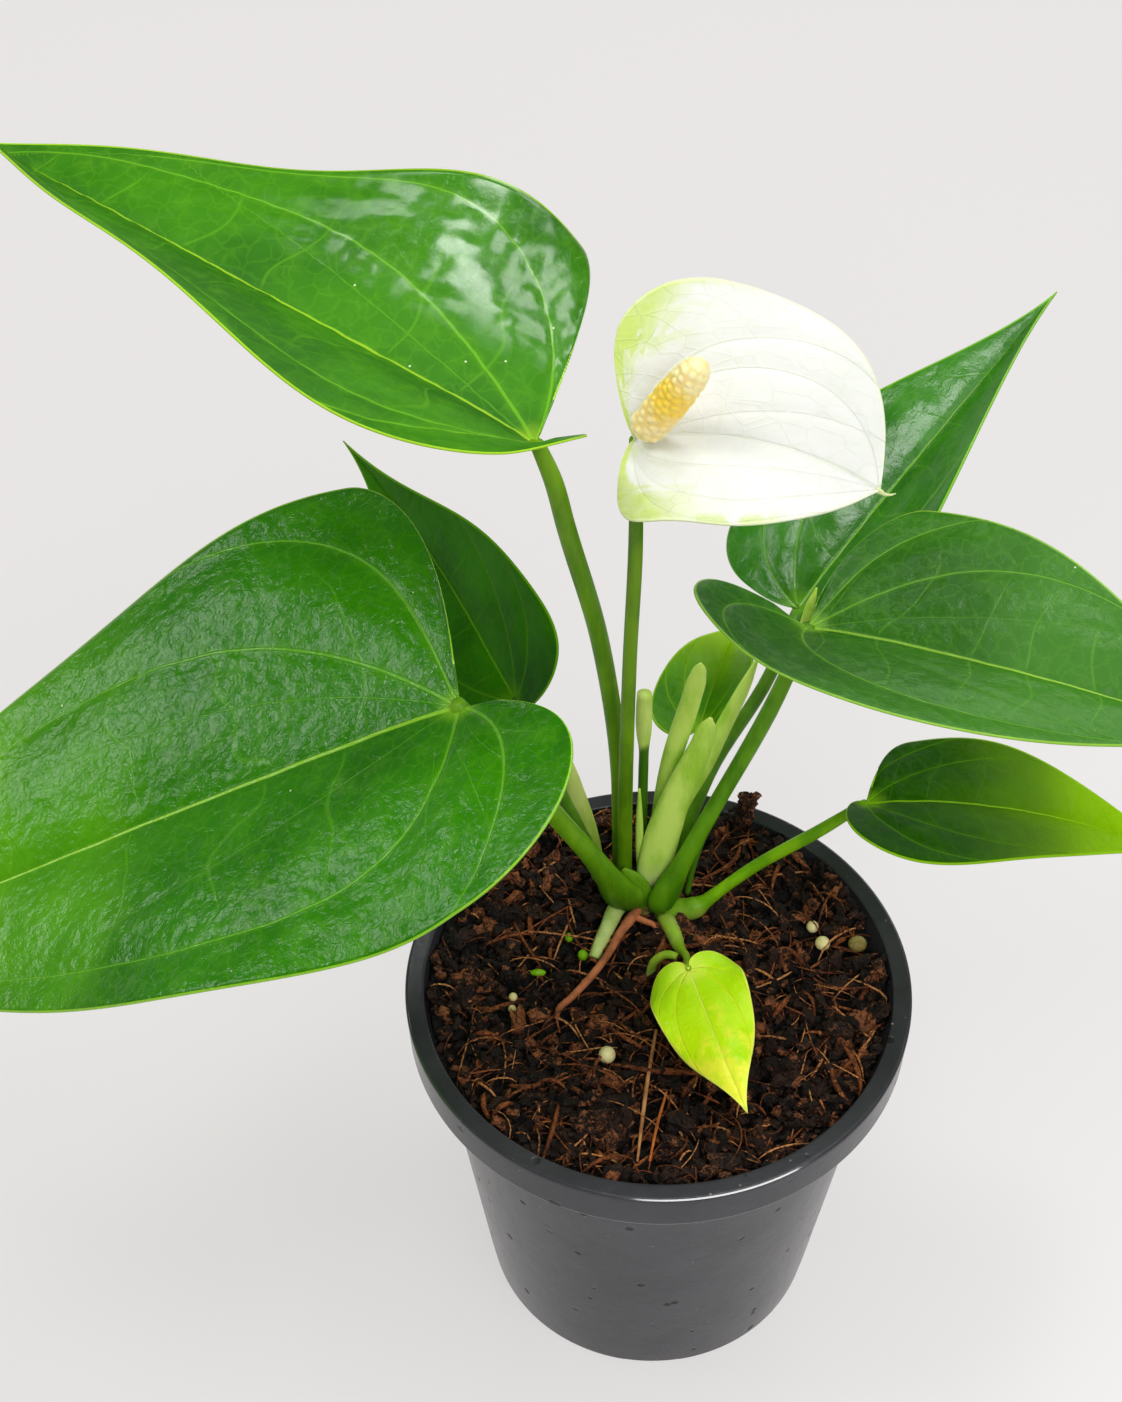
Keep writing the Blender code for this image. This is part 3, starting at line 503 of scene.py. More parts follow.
# %% The distance to a vein
def vein_distance(shape, curve, flat, width):
    half = shape["width"] / 2
    marks = np.linspace(0, 1, VEIN_STEPS + 1)
    line = bezier((0, 0), *curve, marks) * np.array([shape["length"], half])
    start, step = line[:-1], np.diff(line, axis=0)
    best = np.full(len(flat), 1e9)
    signed = np.full(len(flat), FAR)
    point = np.stack([flat[:, 0], np.abs(flat[:, 1])], -1)
    for k in range(len(step)):
        offset = point - start[k]
        share = np.clip(offset @ step[k] / (step[k] @ step[k]), 0, 1)
        gap = offset - share[:, None] * step[k]
        length = np.hypot(gap[:, 0], gap[:, 1])
        nearer = length < best
        turn = step[k, 0] * offset[:, 1] - step[k, 1] * offset[:, 0]
        thin = width * (1 - VEIN_TAPER * (marks[k] + share / VEIN_STEPS))
        value = np.where(turn >= 0, length, -length) / thin
        signed = np.where(nearer, value, signed)
        best = np.where(nearer, length, best)
    return np.clip(signed, -FAR, FAR), best


# %% [markdown]
# ## The surface between the veins
# A leaf isn't flat between its veins: it is quilted, raised in small pillows with the veins sunk between them.
# The pillows are a few added waves, cut into the mesh, so the sheen on the leaf breaks up the way it does on
# the plant. A sum of sine waves needs no texture and gives the same leaf every time.

# %% Pillows
PILLOW_WAVES = 14


def pillows(flat, seed, wave_length):
    picked = np.random.default_rng(seed)
    total = np.zeros(len(flat))
    for _ in range(PILLOW_WAVES):
        angle = picked.uniform(0, 2 * math.pi)
        length = wave_length * picked.uniform(0.6, 1.7)
        wave = 2 * math.pi * (flat @ [math.cos(angle), math.sin(angle)]) / length
        total += np.sin(wave + picked.uniform(0, 2 * math.pi)) * length / wave_length
    return total / 5


# %% One blade, bent and quilted
GROOVE_DEPTH = 0.30     # each vein lies in a narrow groove in a broad channel; both end short of the margin
MARGIN_EASE = 5
MIDRIB_GROOVE, VEIN_GROOVE, FINE_GROOVE = 1.4, 1.1, 0.8


# The heights and depths are in mm, seed also moves the patterns of the finish
def make_blade(name, shape, columns, rows, finish, slot, pillow, channel, vein, wave_length, seed, quilt=0.5):
    bm = bmesh.new()
    bmesh.ops.create_grid(bm, x_segments=columns, y_segments=2 * rows, size=1.0)
    t = np.array([(v.co.x + 1) / 2 for v in bm.verts])
    v = np.array([v.co.y for v in bm.verts])
    v[np.abs(v) < 1e-6] = 0.0
    flat, margin = flat_heart(shape, t, v)
    left, right = VEINS.get(name, (COMMON_VEINS, COMMON_VEINS))
    distance = np.zeros((len(t), 3))
    groove = np.abs(flat[:, 1]) / MIDRIB_GROOVE
    valley = np.full(len(t), 1e3)
    for k in range(3):
        use = v >= 0
        for half, curves in ((use, left), (~use, right)):
            distance[half, k], far = vein_distance(shape, curves[k], flat[half], vein if k < 2 else vein * 0.6)
            groove[half] = np.minimum(groove[half], far / (VEIN_GROOVE if k < 2 else FINE_GROOVE))
            if k < 2:
                valley[half] = np.minimum(valley[half], far)
    inside = 1 - np.exp(-(margin / MARGIN_EASE) ** 2)
    relief = quilt * np.sin(np.pi * np.abs(v)) * np.sin(np.pi * t)
    relief += pillow * pillows(flat, seed, wave_length) * inside
    broad = channel * np.exp(-(valley / (9 * channel + 0.1)) ** 2)
    relief -= (GROOVE_DEPTH * np.exp(-groove**2) + broad) * inside
    places = bend(shape, flat[:, 0], flat[:, 1], relief)
    layers = [bm.verts.layers.float_vector.new(key) for key in ("flat", "fan", "veins")]
    for k, vert in enumerate(bm.verts):
        vert.co = places[k]
        vert[layers[0]] = (flat[k, 0], flat[k, 1], 7.0 * seed)
        vert[layers[1]] = (t[k], v[k], margin[k])
        vert[layers[2]] = distance[k]
    bmesh.ops.remove_doubles(bm, verts=bm.verts, dist=mm(0.02))
    bmesh.ops.dissolve_degenerate(bm, edges=bm.edges, dist=mm(0.02))
    piece = hand_over(bm, name + "_blade", finish, slot, [name], outward=False)
    solid = piece.modifiers.new("thickness", "SOLIDIFY")
    solid.thickness = mm(BLADE_THICK)
    solid.offset = 0.0
    solid.material_offset = 1
    solid.material_offset_rim = 0
    return piece


# %% [markdown]
# ## The finish of a leaf
# An anthurium leaf is waxy: a deep green that pales along the veins, a yellow-green rim less than a millimetre
# wide, and a fine net of smaller veins. All of it is drawn on the flat heart's own coordinates, so it bends
# with the leaf. Fine veins branch off the midrib along the rays, and the net is a Voronoi pattern's edges.

# %% Upper side of a leaf
# What a blade stores at each of its points: the flat place, the ray and the distances to the veins
def blade_signals(paint):
    flat = paint.read("flat")
    x, y, _ = paint.parts(flat)
    return flat, x, y, paint.parts(paint.read("fan")), paint.parts(paint.read("veins"))


def leaf_finish(name, length, green, deep, vein, edge, fresh=None, fresh_from=2.0, fresh_over=0.35, gloss=0.3,
                shine=0.32, patches=0.0, glow=0.0, waxed=0, relief=1.0):
    paint = Paint(name)
    flat, x, y, (t, v, margin), (first, second, third) = blade_signals(paint)
    wander = paint.cloud(flat, 30, 1)
    broad = paint.cloud(flat, 34, 3)
    mottled = paint.cloud(flat, 5.5, 4, 0.6)
    crinkle = paint.cloud(flat, 2.1, 3, 0.6, 0.8)
    push = paint.node("TexNoise", None, {"Vector": flat, "Scale": 0.2, "Detail": 2.0}, "Color")
    bent = paint.node("VectorMath", {"operation": "ADD"}, {0: flat, 1: paint.stretched(push, (5, 5, 0))})
    web = paint.cells(bent, 4.6).ramp(0.09, 0.01)
    # Masks of the veins, from the thickest to the finest
    breadth = (0.95 - 0.68 * (x / length).most(0.0)) * min(1, length / 130)
    middle = (abs(y) / breadth).ramp(1.0, 0.45) * x.ramp(-1, 1)
    nearest = abs(first).least(abs(second))
    main, beside = nearest.ramp(1.3, 0.5), nearest.ramp(FAR, 0.8)
    fine = abs(third).ramp(1.2, 0.4)
    ray = (t * 12 + wander * 1.3 + abs(v) * 0.6).fraction()
    branch = abs(ray - 0.5).ramp(0.030, 0.006) * abs(v).ramp(0.02, 0.06) * abs(v).ramp(0.85, 0.45)
    reach = paint.node("VectorMath", {"operation": "LENGTH"}, {0: paint.stretched(flat, (1, 1, 0))}, "Value")
    colour = paint.mix(broad.ramp(0.34, 0.66), deep, green)
    colour = paint.mix(mottled.ramp(0.40, 0.80) * 0.16 + beside * 0.10, colour, vein)
    if fresh:
        along = x / length + (wander - 0.5) * 0.35 + (mottled - 0.5) * patches
        colour = paint.mix(along.ramp(fresh_from, fresh_from + fresh_over), colour, fresh)
    speck = paint.cells(flat, 8.5, "F1").ramp(0.040, 0.022) * paint.cloud(flat, 17, 1).ramp(0.53, 0.58)
    colour = paint.layers(
        colour, ((web * 0.10).most(branch * 0.26).most(fine * 0.30).most(main * 0.62), vein),
        (middle * 0.72, edge), (reach.ramp(7.0, 1.0) * 0.55, edge), (margin.ramp(0.60, 0.25) * 0.9, edge),
        (speck * 0.8, rgb(222, 230, 190))
    )
    height = paint.cells(bent, 3.4, "SMOOTH_F1") * 0.34 + mottled * 0.40 + crinkle * 0.22
    height = height - main * 0.14 - middle * 0.16 - fine * 0.06 - branch * 0.05
    rough = gloss + (mottled - 0.5) * 0.15 + (crinkle - 0.5) * 0.08
    if waxed:   # an old leaf that has kept its wrinkles and its wax near one lobe only
        kept = (x / length + (wander - 0.5) * 0.3).ramp(0.62, 0.30) * (v * waxed).ramp(0.26, 0.56)
        height = height * (0.3 + kept * 0.8)
        rough = rough + (1 - kept) * 0.35
        paint.join(kept * 0.95, paint.shader.inputs["Coat Weight"])
    if glow:    # painted glow: the blade gives off its own colour, standing in for light shining through a young thin blade
        paint.join(colour, paint.shader.inputs["Emission Color"])
    return paint.done(colour, rough, paint.bumps(height * relief), Specular_Ior_Level=shine,
                      Emission_Strength=glow, Coat_Roughness=0.17)


# %% Underside of a leaf
def under_finish(name, length, pale, vein):
    paint = Paint(name)
    flat, x, y, _, (first, second, _) = blade_signals(paint)
    middle = (abs(y) / (1.7 - 1.2 * (x / length).most(0.0))).ramp(1.0, 0.5) * x.ramp(-1, 1)
    main = abs(first).least(abs(second)).ramp(1.6, 0.6)
    mottled = paint.cloud(flat, 8, 4)
    web = paint.cells(flat, 5.5).ramp(0.07, 0.01)
    colour = paint.mix(0.55, paint.mix(mottled.ramp(0.3, 0.7), pale, vein), pale)
    colour = paint.mix((main * 0.7).most(middle * 0.9).most(web * 0.2), colour, vein)
    height = main * 0.25 + middle * 0.5 + web * 0.06 + mottled * 0.2
    return paint.done(colour, 0.52 + mottled * 0.12, paint.bumps(height), Specular_Ior_Level=0.4)


# %% [markdown]
# ## Eight leaves
# The oldest leaves are the deepest green. The small one at the front opened last and is still lime yellow,
# and the one at the lower right turns yellow-green towards its tip. Each leaf gets its own two finishes,
# because the upper side is glossy and the underside is paler and duller.

# %% Colours of the leaves
# Colours of the blade, its deeper patches, its veins and its edge, and of the fresh part where there is one
def look(*colours, **more):
    return {**dict(zip(("green", "deep", "vein", "edge", "fresh"), [rgb(*c) for c in colours])), **more}


LEAF_LOOKS = {
    "leaf_upper_left": look((54, 124, 0), (34, 98, 0), (112, 180, 30), (160, 206, 40), gloss=0.16,
                            shine=0.13, waxed=-1),
    "leaf_front_left": look((43, 116, 2), (31, 98, 0), (100, 168, 32), (142, 198, 46), (108, 182, 16),
                            fresh_from=0.36, fresh_over=0.6, gloss=0.17),
    "leaf_back_left": look((46, 112, 0), (22, 78, 0), (78, 134, 8), (96, 150, 16), gloss=0.5, shine=0.05),
    "leaf_back_right": look((46, 118, 8), (30, 96, 3), (94, 156, 32), (120, 182, 34), gloss=0.25,
                            shine=0.44, relief=0.4),
    "leaf_right": look((42, 104, 5), (32, 90, 2), (108, 170, 44), (146, 196, 62), (54, 116, 14),
                       fresh_from=0.08, fresh_over=0.45, gloss=0.33, shine=0.24, relief=0.8),
    "leaf_lower_right": look((42, 94, 2), (28, 78, 0), (86, 146, 6), (150, 204, 20), (150, 204, 0),
                             fresh_from=0.14, fresh_over=0.85, gloss=0.40, shine=0.06),
    # painted light: the young leaf's colours are brightened against the shade of the leaves above it, and it
    # glows
    "leaf_young": look((206, 244, 4), (180, 232, 0), (222, 242, 30), (236, 248, 100), (240, 242, 60),
                       fresh_from=0.42, gloss=0.34, patches=1.4, glow=0.14),
    "leaf_behind": look((96, 168, 1), (62, 130, 0), (140, 196, 20), (164, 212, 40), (160, 206, 12),
                        fresh_from=0.16, fresh_over=0.75, gloss=0.40, shine=0.12),
}
# Height of the pillows of each leaf, in mm for a leaf 160 mm long; the rest take 0.10
PILLOW_HEIGHT = {"leaf_upper_left": 0.17, "leaf_back_right": 0.16}
LEAF_SLOTS = {
    "leaf_back_left": "leaf_dark", "leaf_lower_right": "leaf_bright", "leaf_behind": "leaf_bright",
    "leaf_young": "leaf_lime",
}

# %% Make the leaves
WAVE_LENGTH, WAXED_WAVE_LENGTH = 9, 5.5
CHANNEL_DEPTH = 0.9
VEIN_WIDTH = 0.5

for seed, (name, shape) in enumerate(LEAVES.items()):
    look = LEAF_LOOKS[name]
    length = shape["length"]
    size = 0.5 + 0.5 * length / 160
    upper = leaf_finish(name + "_upper", length, **look)
    under = under_finish(name + "_under", length, look["vein"], look["edge"])
    columns = int(min(170, 40 + length * 0.75))
    rows = int(min(42, 10 + length * 0.18))
    wave_length = WAXED_WAVE_LENGTH if look.get("waxed") else WAVE_LENGTH
    made = make_blade(name, shape, columns, rows, [upper, under], LEAF_SLOTS.get(name, "leaf_green"),
                      pillow=PILLOW_HEIGHT.get(name, 0.10) * size, channel=CHANNEL_DEPTH * size,
                      vein=VEIN_WIDTH * size, wave_length=wave_length * size, seed=seed + 1)
    print(name, "faces:", len(made.data.polygons))

# %% [markdown]
# ## The white spathe
# The white "petal" of an anthurium is a leaf of its own kind, so it is modelled like one. It is thicker and
# softer: light enters it and glows, which subsurface scattering gives. Pale green veins arch to its hooked
# tip, and patches near the stalk have stayed lime.

# %% Finish of the spathe
def spathe_finish(name, length, half):
    paint = Paint(name)
    flat, x, y, (t, v, margin), (first, second, third) = blade_signals(paint)
    along, across = x / length, y / half
    blot = paint.cloud(flat, 9, 4, 0.6, 0.8)
    torn = paint.cloud(paint.stretched(flat, (0.45, 1, 1)), 7, 5, 0.62, 1.2)
    fibres = paint.cloud(paint.stretched(paint.read("fan"), (16, 2.2, 0)), 1, 4, 0.6, 0.5)
    inward = margin / 15 - 0.14 + (torn - 0.5) * 1.2 + (fibres - 0.5) * 3.0
    corner = inward.ramp(0.58, 0.38) * t.ramp(0.40, 0.27) * v.ramp(0.0, 0.1)
    torn_patch = (torn + (fibres - 0.5) * 0.9).ramp(0.38, 0.52) * margin.ramp(20, 14) * margin.ramp(5, 8)
    torn_patch = torn_patch * t.ramp(0.44, 0.34) * v.ramp(0.0, 0.1) * 0.5
    lower = (margin / 17 - 0.16 + (torn - 0.5) * 0.9 + (fibres - 0.5) * 0.5).ramp(0.66, 0.34)
    lower = lower * t.ramp(0.46, 0.30) * v.ramp(0.0, -0.1)
    patch = v.ramp(-0.86, -0.97) * t.ramp(0.62, 0.50) * blot.ramp(0.52, 0.58) * 0.7
    rim = margin.ramp(2.6, 0.6) * t.ramp(0.46, 0.30)
    near = (along + abs(across) * 0.5).ramp(0.14, 0.0) * 0.7
    lime = corner.most(torn_patch).most(lower).most(patch).most(rim).most(near * blot.ramp(0.3, 0.6))
    white = paint.mix(blot.ramp(0.3, 0.8), rgb(221, 222, 217), rgb(215, 218, 210))
    lime = lime * (0.62 + blot.ramp(0.35, 0.6) * 0.22)
    main = abs(first).least(abs(second)).least(abs(third)).ramp(1.5, 0.5)
    middle = abs(y).ramp(0.8, 0.3) * x.ramp(0, 2)
    web = paint.cells(paint.stretched(flat, (0.7, 1, 1)), 4.6).ramp(0.055, 0.012)
    speck = paint.cells(flat, 11.0, "F1").ramp(0.032, 0.018) * paint.cloud(flat, 13, 1).ramp(0.5, 0.56)
    colour = paint.layers(
        white, (lime, rgb(186, 209, 66)), (web * (0.05 + lime * 0.45), rgb(178, 200, 120)),
        (main.most(middle) * 0.14, rgb(186, 202, 148)), (margin.ramp(0.9, 0.3) * 0.5, rgb(226, 236, 190)),
        (speck * 0.8, rgb(120, 96, 52))
    )
    height = paint.cloud(flat, 5, 3) * 0.30 + main * 0.11 - middle * 0.12 + web * 0.04
    return paint.done(colour, 0.42, paint.bumps(height), Subsurface_Weight=0.35,
                      Subsurface_Radius=(1.0, 1.0, 0.6), Subsurface_Scale=0.0015, Specular_Ior_Level=0.45)


white_paint = spathe_finish("spathe_white", SPATHE["length"], SPATHE["width"] / 2)
make_blade("spathe", SPATHE, 110, 36, [white_paint, white_paint], "spathe", pillow=0.12, channel=0.18, vein=0.4,
           wave_length=13, seed=21, quilt=0.3)

# %% [markdown]
# ## Stalks, sheaths and roots
# A stalk is a tube through a few measured places, each with its own width and depth. Rings are placed along a
# smooth path through them and bridged, so a stalk can thicken at its foot or flatten into a sheath. A curve
# with a bevel would be quicker, but its section would be round everywhere.

# %% A smooth path and its rings
STALK_NECK = 0.8        # a stalk narrows to this share of itself where it meets its blade


# A station is x, y, z and its radius, or its radii across and deep where it isn't round
def smooth_path(stations, between):
    rows = np.array([(*row, row[3]) if len(row) == 4 else row for row in stations], float)
    steps = np.linalg.norm(np.diff(rows[:, :3], axis=0), axis=1)[:, None]
    slopes = np.diff(rows, axis=0) / steps
    middle = (slopes[1:] * steps[:-1] + slopes[:-1] * steps[1:]) / (steps[1:] + steps[:-1])
    tangents = np.vstack([slopes[:1], middle, slopes[-1:]])
    path = []
    for k in range(len(rows) - 1):
        for step in range(between):
            u = step / between
            path.append(rows[k] * (1 + 2 * u) * (1 - u) ** 2 + rows[k + 1] * u * u * (3 - 2 * u)
                        + steps[k] * (tangents[k] * u * (1 - u) ** 2 - tangents[k + 1] * u * u * (1 - u)))
    return path + [rows[-1]]


# %% Rings along the path
def ring_matrix(path, k, top):
    here = Vector(path[k][:3])
    ahead = Vector(path[min(k + 1, len(path) - 1)][:3]) - Vector(path[max(k - 1, 0)][:3])
    along = ahead.normalized()
    if k == 0 and abs(along.z) > 0.5:
        along = Vector((0, 0, 1))
    if k == len(path) - 1 and top is not None:
        along = top
    facing = Vector((0, -1, 0))
    across = facing.cross(along)
    if across.length < 0.1:
        across = Vector((1, 0, 0))
    across.normalize()
    deep = along.cross(across)
    turned = Matrix((across, deep, along)).transposed().to_4x4()
    size = Matrix.Diagonal((path[k][3], path[k][4], 1, 1))
    return Matrix.Scale(0.001, 4) @ Matrix.Translation(here) @ turned @ size


def bridged_tube(stations, sides=24, between=8, top=None):
    path = smooth_path(stations, between)
    bm = bmesh.new()
    rings = []
    for k in range(len(path)):
        made = bmesh.ops.create_circle(bm, segments=sides, radius=1.0, matrix=ring_matrix(path, k, top))
        rings.append(list(dict.fromkeys(e for v in made["verts"] for e in v.link_edges)))
    for low, high in zip(rings, rings[1:]):
        bmesh.ops.bridge_loops(bm, edges=low + high)
    bmesh.ops.contextual_create(bm, geom=rings[0])
    bmesh.ops.contextual_create(bm, geom=rings[-1])
    return bm


# The last station of a stalk, tilted half way to the blade and touching its underside
def blade_end(shape, last):
    at, _, _, up = midrib(shape, np.zeros(1))
    at = Vector(at[0])
    up = Vector(up[0])
    radius = STALK_NECK * last[3]
    along = ((at - Vector(last[:3])).normalized() + up).normalized()
    reach = radius * math.sqrt(1 - min(1, along.dot(up) ** 2))
    end = at - up * (0.6 * reach)
    return (*end, radius), along


# %% Where the stalks run
STALKS = {
    "petiole_upper_left": [
        (-9, 39, 112, 2.3), (-9.5, 39.4, 130, 2.2), (-10.1, 39.7, 152, 2.2), (-15.5, 41.2, 200, 2.3),
        (-23.9, 37.8, 243, 2.3), (-26.9, 38.3, 257.5, 2.2),
    ],
    "petiole_front_left": [
        (-6.8, 29.6, 110.5, 3.6, 2.4), (-7.6, 28.2, 114, 5.0, 2.8), (-9.6, 26.9, 118.5, 4.9, 2.8),
        (-12.4, 26.2, 125, 3.7, 2.7), (-16.6, 25.8, 134, 2.9, 2.6), (-25.3, 24.5, 151, 2.6),
        (-38, 14, 189, 2.5),
    ],
    "petiole_back_left": [
        (-13, 32.5, 112, 1.8), (-15.5, 33.6, 121, 1.8), (-23.5, 37, 142, 1.7), (-31, 43, 157, 1.7),
    ],
    "petiole_back_right": [
        (5, 34.5, 112, 1.9), (6.6, 38.2, 122, 1.8), (13.6, 49, 140, 1.75), (29.5, 66.5, 160, 1.75),
    ],
    "petiole_right": [
        (-0.4, 27.6, 110.8, 1.8, 1.6), (0.7, 27.0, 113.4, 3.3, 2.4), (2.6, 27.5, 118.0, 3.7, 2.6),
        (6.0, 29.4, 126, 2.6, 2.3), (12.1, 32.7, 140, 2.2), (29, 40.4, 181, 2.1),
    ],
    "petiole_lower_right": [
        (3.6, 28.6, 106, 2.4), (5.4, 28.0, 109.6, 3.3, 3.0), (8.6, 27.3, 110.8, 3.2, 2.9),
        (10.8, 27.1, 112.2, 3.0, 2.7), (12.6, 27.4, 113.6, 2.1), (15.6, 28.1, 116.4, 1.7), (23.2, 30, 123, 1.6),
        (43, 30.5, 141, 1.6),
    ],
    "petiole_behind": [
        (4.7, 39.4, 112, 1.0), (5.1, 41.5, 114.5, 1.0), (6.4, 47, 117, 1.0), (8.5, 58, 121, 1.0),
    ],
}
SCAPE = [
    (-8.3, 33.3, 112, 2.05), (-8.6, 33.0, 150, 1.9), (-8.3, 34.2, 200, 1.75), (-7.6, 35.5, 245, 1.7),
]
# The curled point of the spathe, from the blade's last point
SPATHE_HOOK = [(-0.6, 0, 0.1, 0.9, 0.5), (0.5, -0.2, -0.5, 0.7, 0.45), (1.6, -0.4, -1.1, 0.4, 0.35),
               (2.8, -0.4, -1.2, 0.28, 0.25), (4.0, -0.3, -0.9, 0.1, 0.1)]

# %% Where the sheaths run
SHEATHS = {
    "sheath_tall": [
        (0.8, 38.6, 112, 2.3, 1.2), (1.2, 41, 128, 2.7, 1.5), (3.4, 43.6, 152, 2.7, 1.6),
        (7.6, 44.4, 174, 2.6, 1.5), (9.1, 44.6, 183, 2.2, 1.2), (9.6, 44.6, 187, 1.1, 0.7),
        (9.7, 44.6, 188, 0.3),
    ],
    "sheath_broad": [
        (-1.6, 33.2, 112, 3.6, 1.9), (-0.9, 32.4, 119, 4.4, 2.2), (0.9, 34.4, 130, 4.7, 2.2),
        (5.2, 38.0, 146, 3.9, 2.0), (10.6, 41, 161, 3.0, 1.5), (12.3, 42.4, 167.5, 1.9, 1.0),
        (12.8, 42.7, 169.6, 0.5, 0.4),
    ],
    "sheath_left": [
        (-15, 36.8, 112, 1.7, 1.2), (-16.6, 38.3, 122, 2.4, 1.4), (-21.3, 41.4, 141, 2.7, 1.6),
        (-24.6, 42.8, 153, 2.2, 1.3), (-26.4, 43.6, 160, 0.5),
    ],
}
# What is joined to a stalk or sheath: the clasping foot of a stalk, and the folds of the broad sheath
STALK_WINGS = {
    "petiole_front_left": [[
        (-3.4, 28.4, 108.5, 2.4, 1.1), (-4.0, 28.6, 113, 3.6, 1.3), (-5.6, 29.2, 118, 3.9, 1.2),
        (-7.4, 29.8, 122, 2.6, 1.0), (-8.6, 30.0, 124.6, 0.6, 0.5),
    ]],
}
SHEATH_WINGS = {
    "sheath_broad": [[
        (2.2, 35.6, 128, 1.6, 1.2), (6.5, 39, 140, 2.0, 1.2), (12, 43, 151, 2.3, 1.3), (16, 46, 161, 2.2, 1.2),
        (22, 49.5, 176, 1.4, 0.9), (24.2, 50.4, 183, 0.4),
    ], [
        (-3.2, 33.6, 114, 1.2, 0.9), (-4.3, 34.6, 125, 1.1, 0.8), (-4.7, 36, 138, 0.9, 0.7),
        (-4.9, 36.6, 149, 0.3),
    ]],
}
DRY_SHEATH = [
    (3.2, 29.2, 110, 1.0, 0.4), (5.0, 29.8, 117, 1.5, 0.4), (7.6, 32.6, 126, 1.1, 0.4),
    (9.0, 34.0, 130, 0.4, 0.3),
]

# %% Where the roots, the shoots and the old flower run
# These two lie on the soil: x, y, height over the soil, and the two radii
ROOTS = {
    "root_tan": [
        (-0.6, -9.3, 2.2, 0.4, 0.4), (-2.4, -20.4, 2.6, 0.55, 0.5), (-4.6, -37.2, 2.6, 0.5, 0.5),
        (-6.2, -51.1, 2.0, 0.3, 0.3),
    ],
    "root_orange": [
        (1.6, -28.7, 1.8, 0.3, 0.3), (-0.9, -39.3, 2.4, 0.4, 0.4), (-3.2, -51.1, 2.0, 0.3, 0.3),
    ],
}
# These two leave the crown high up, so they need no soil under them
FREE_ROOTS = {
    "root_pale": [
        (-8.8, 30.5, 109.5, 2.4, 2.2), (-10.6, 27.4, 110.2, 2.5, 2.3), (-12.6, 22.6, 109.4, 2.2, 2.0),
        (-14.6, 18.2, 108.2, 1.9, 1.8), (-16.4, 14.2, 106.9, 1.5),
    ],
    "root_brown": [
        (-4.0, 29.4, 109.4, 1.0), (-5.8, 25.6, 110.6, 1.5, 1.4), (-9.2, 20.6, 109.9, 1.2),
        (-12.9, 13.6, 108.9, 1.05, 1.0), (-17.6, 6.6, 108.3, 1.1, 1.0), (-22.2, 0.9, 107.9, 1.0, 0.9),
        (-25.8, -3.4, 107.5, 0.8), (-26.0, -6.0, 107.2, 0.35), (-25.3, -9.4, 106.6, 0.2),
    ],
}
ROOT_BRANCH = [
    (-5.8, 25.2, 110.4, 0.9), (-3.2, 24.0, 110.1, 0.9, 0.8), (-0.8, 23.4, 109.3, 0.8, 0.7),
    (1.4, 22.2, 107.4, 0.4),
]
YOUNG_STALK = [
    (2.2, 27.4, 107.5, 2.2, 2.0), (3.2, 24.2, 109.4, 2.5, 2.2), (4.6, 19.4, 110.4, 2.1, 2.0),
    (5.6, 14.6, 111.8, 1.7, 1.6), (6.3, 11.4, 113.8, 1.2), (7.1, 7.4, 117.4, 1.0),
]
RUNNER = [
    (5.0, 7.4, 116.6, 1.0), (2.6, 8.2, 116.4, 1.1), (-0.4, 8.8, 113.2, 1.2), (-1.8, 8.4, 107.0, 1.2),
]
STUB = [
    (-3.9, 39.4, 112, 1.3), (-3.8, 40.5, 130, 1.3), (-3.8, 42.4, 150, 1.3), (-3.8, 43.2, 157.5, 1.35),
    (-3.9, 43.9, 162, 1.9), (-4.0, 44.6, 170, 2.1), (-4.0, 45.2, 176, 1.9),
]
BUD = [
    (8.4, 31.8, 112, 0.8), (9.5, 33.2, 120, 0.8), (14, 37.5, 136, 0.8), (29.5, 45.5, 176, 0.8),
    (34.6, 49.8, 192, 0.9), (35.6, 51, 197, 1.2), (36.8, 52.4, 202, 1.0), (37.8, 53.2, 206, 0.3),
]

# %% [markdown]
# ## Skin of the stalks
# A leaf stalk is a bright, slightly shiny green with faint lengthwise streaks, paler near the ground. The
# streaks are noise stretched along the height, which reads as fibres. Sheaths and roots use the same recipe
# with other colours, so one helper makes them all.

# %% Streaked skin
def streaked(name, light, dark, foot=None, foot_top=125.0, foot_low=108.0, gloss=0.38, relief=0.12,
             stretch=0.07, glow=0.0):
    paint = Paint(name)
    fibres = paint.cloud(paint.here((1, 1, stretch)), 0.55, 3, 0.6)
    patches = paint.cloud(paint.here((1, 1, 0.35)), 7, 3)
    light, dark = rgb(*light), rgb(*dark)
    colour = paint.mix(patches.ramp(0.35, 0.65), dark, light)
    colour = paint.mix(fibres.ramp(0.45, 0.72) * 0.35, colour, light)
    if foot:
        height = paint.parts(paint.here())[2]
        colour = paint.mix((height + (patches - 0.5) * 12).ramp(foot_top, foot_low), colour, rgb(*foot))
    normal = paint.bumps(fibres * relief + patches * 0.3)
    return paint.done(colour, gloss + patches * 0.12, normal, Specular_Ior_Level=0.24, Subsurface_Weight=glow,
                      Subsurface_Radius=(0.7, 1.0, 0.2), Subsurface_Scale=0.0015)


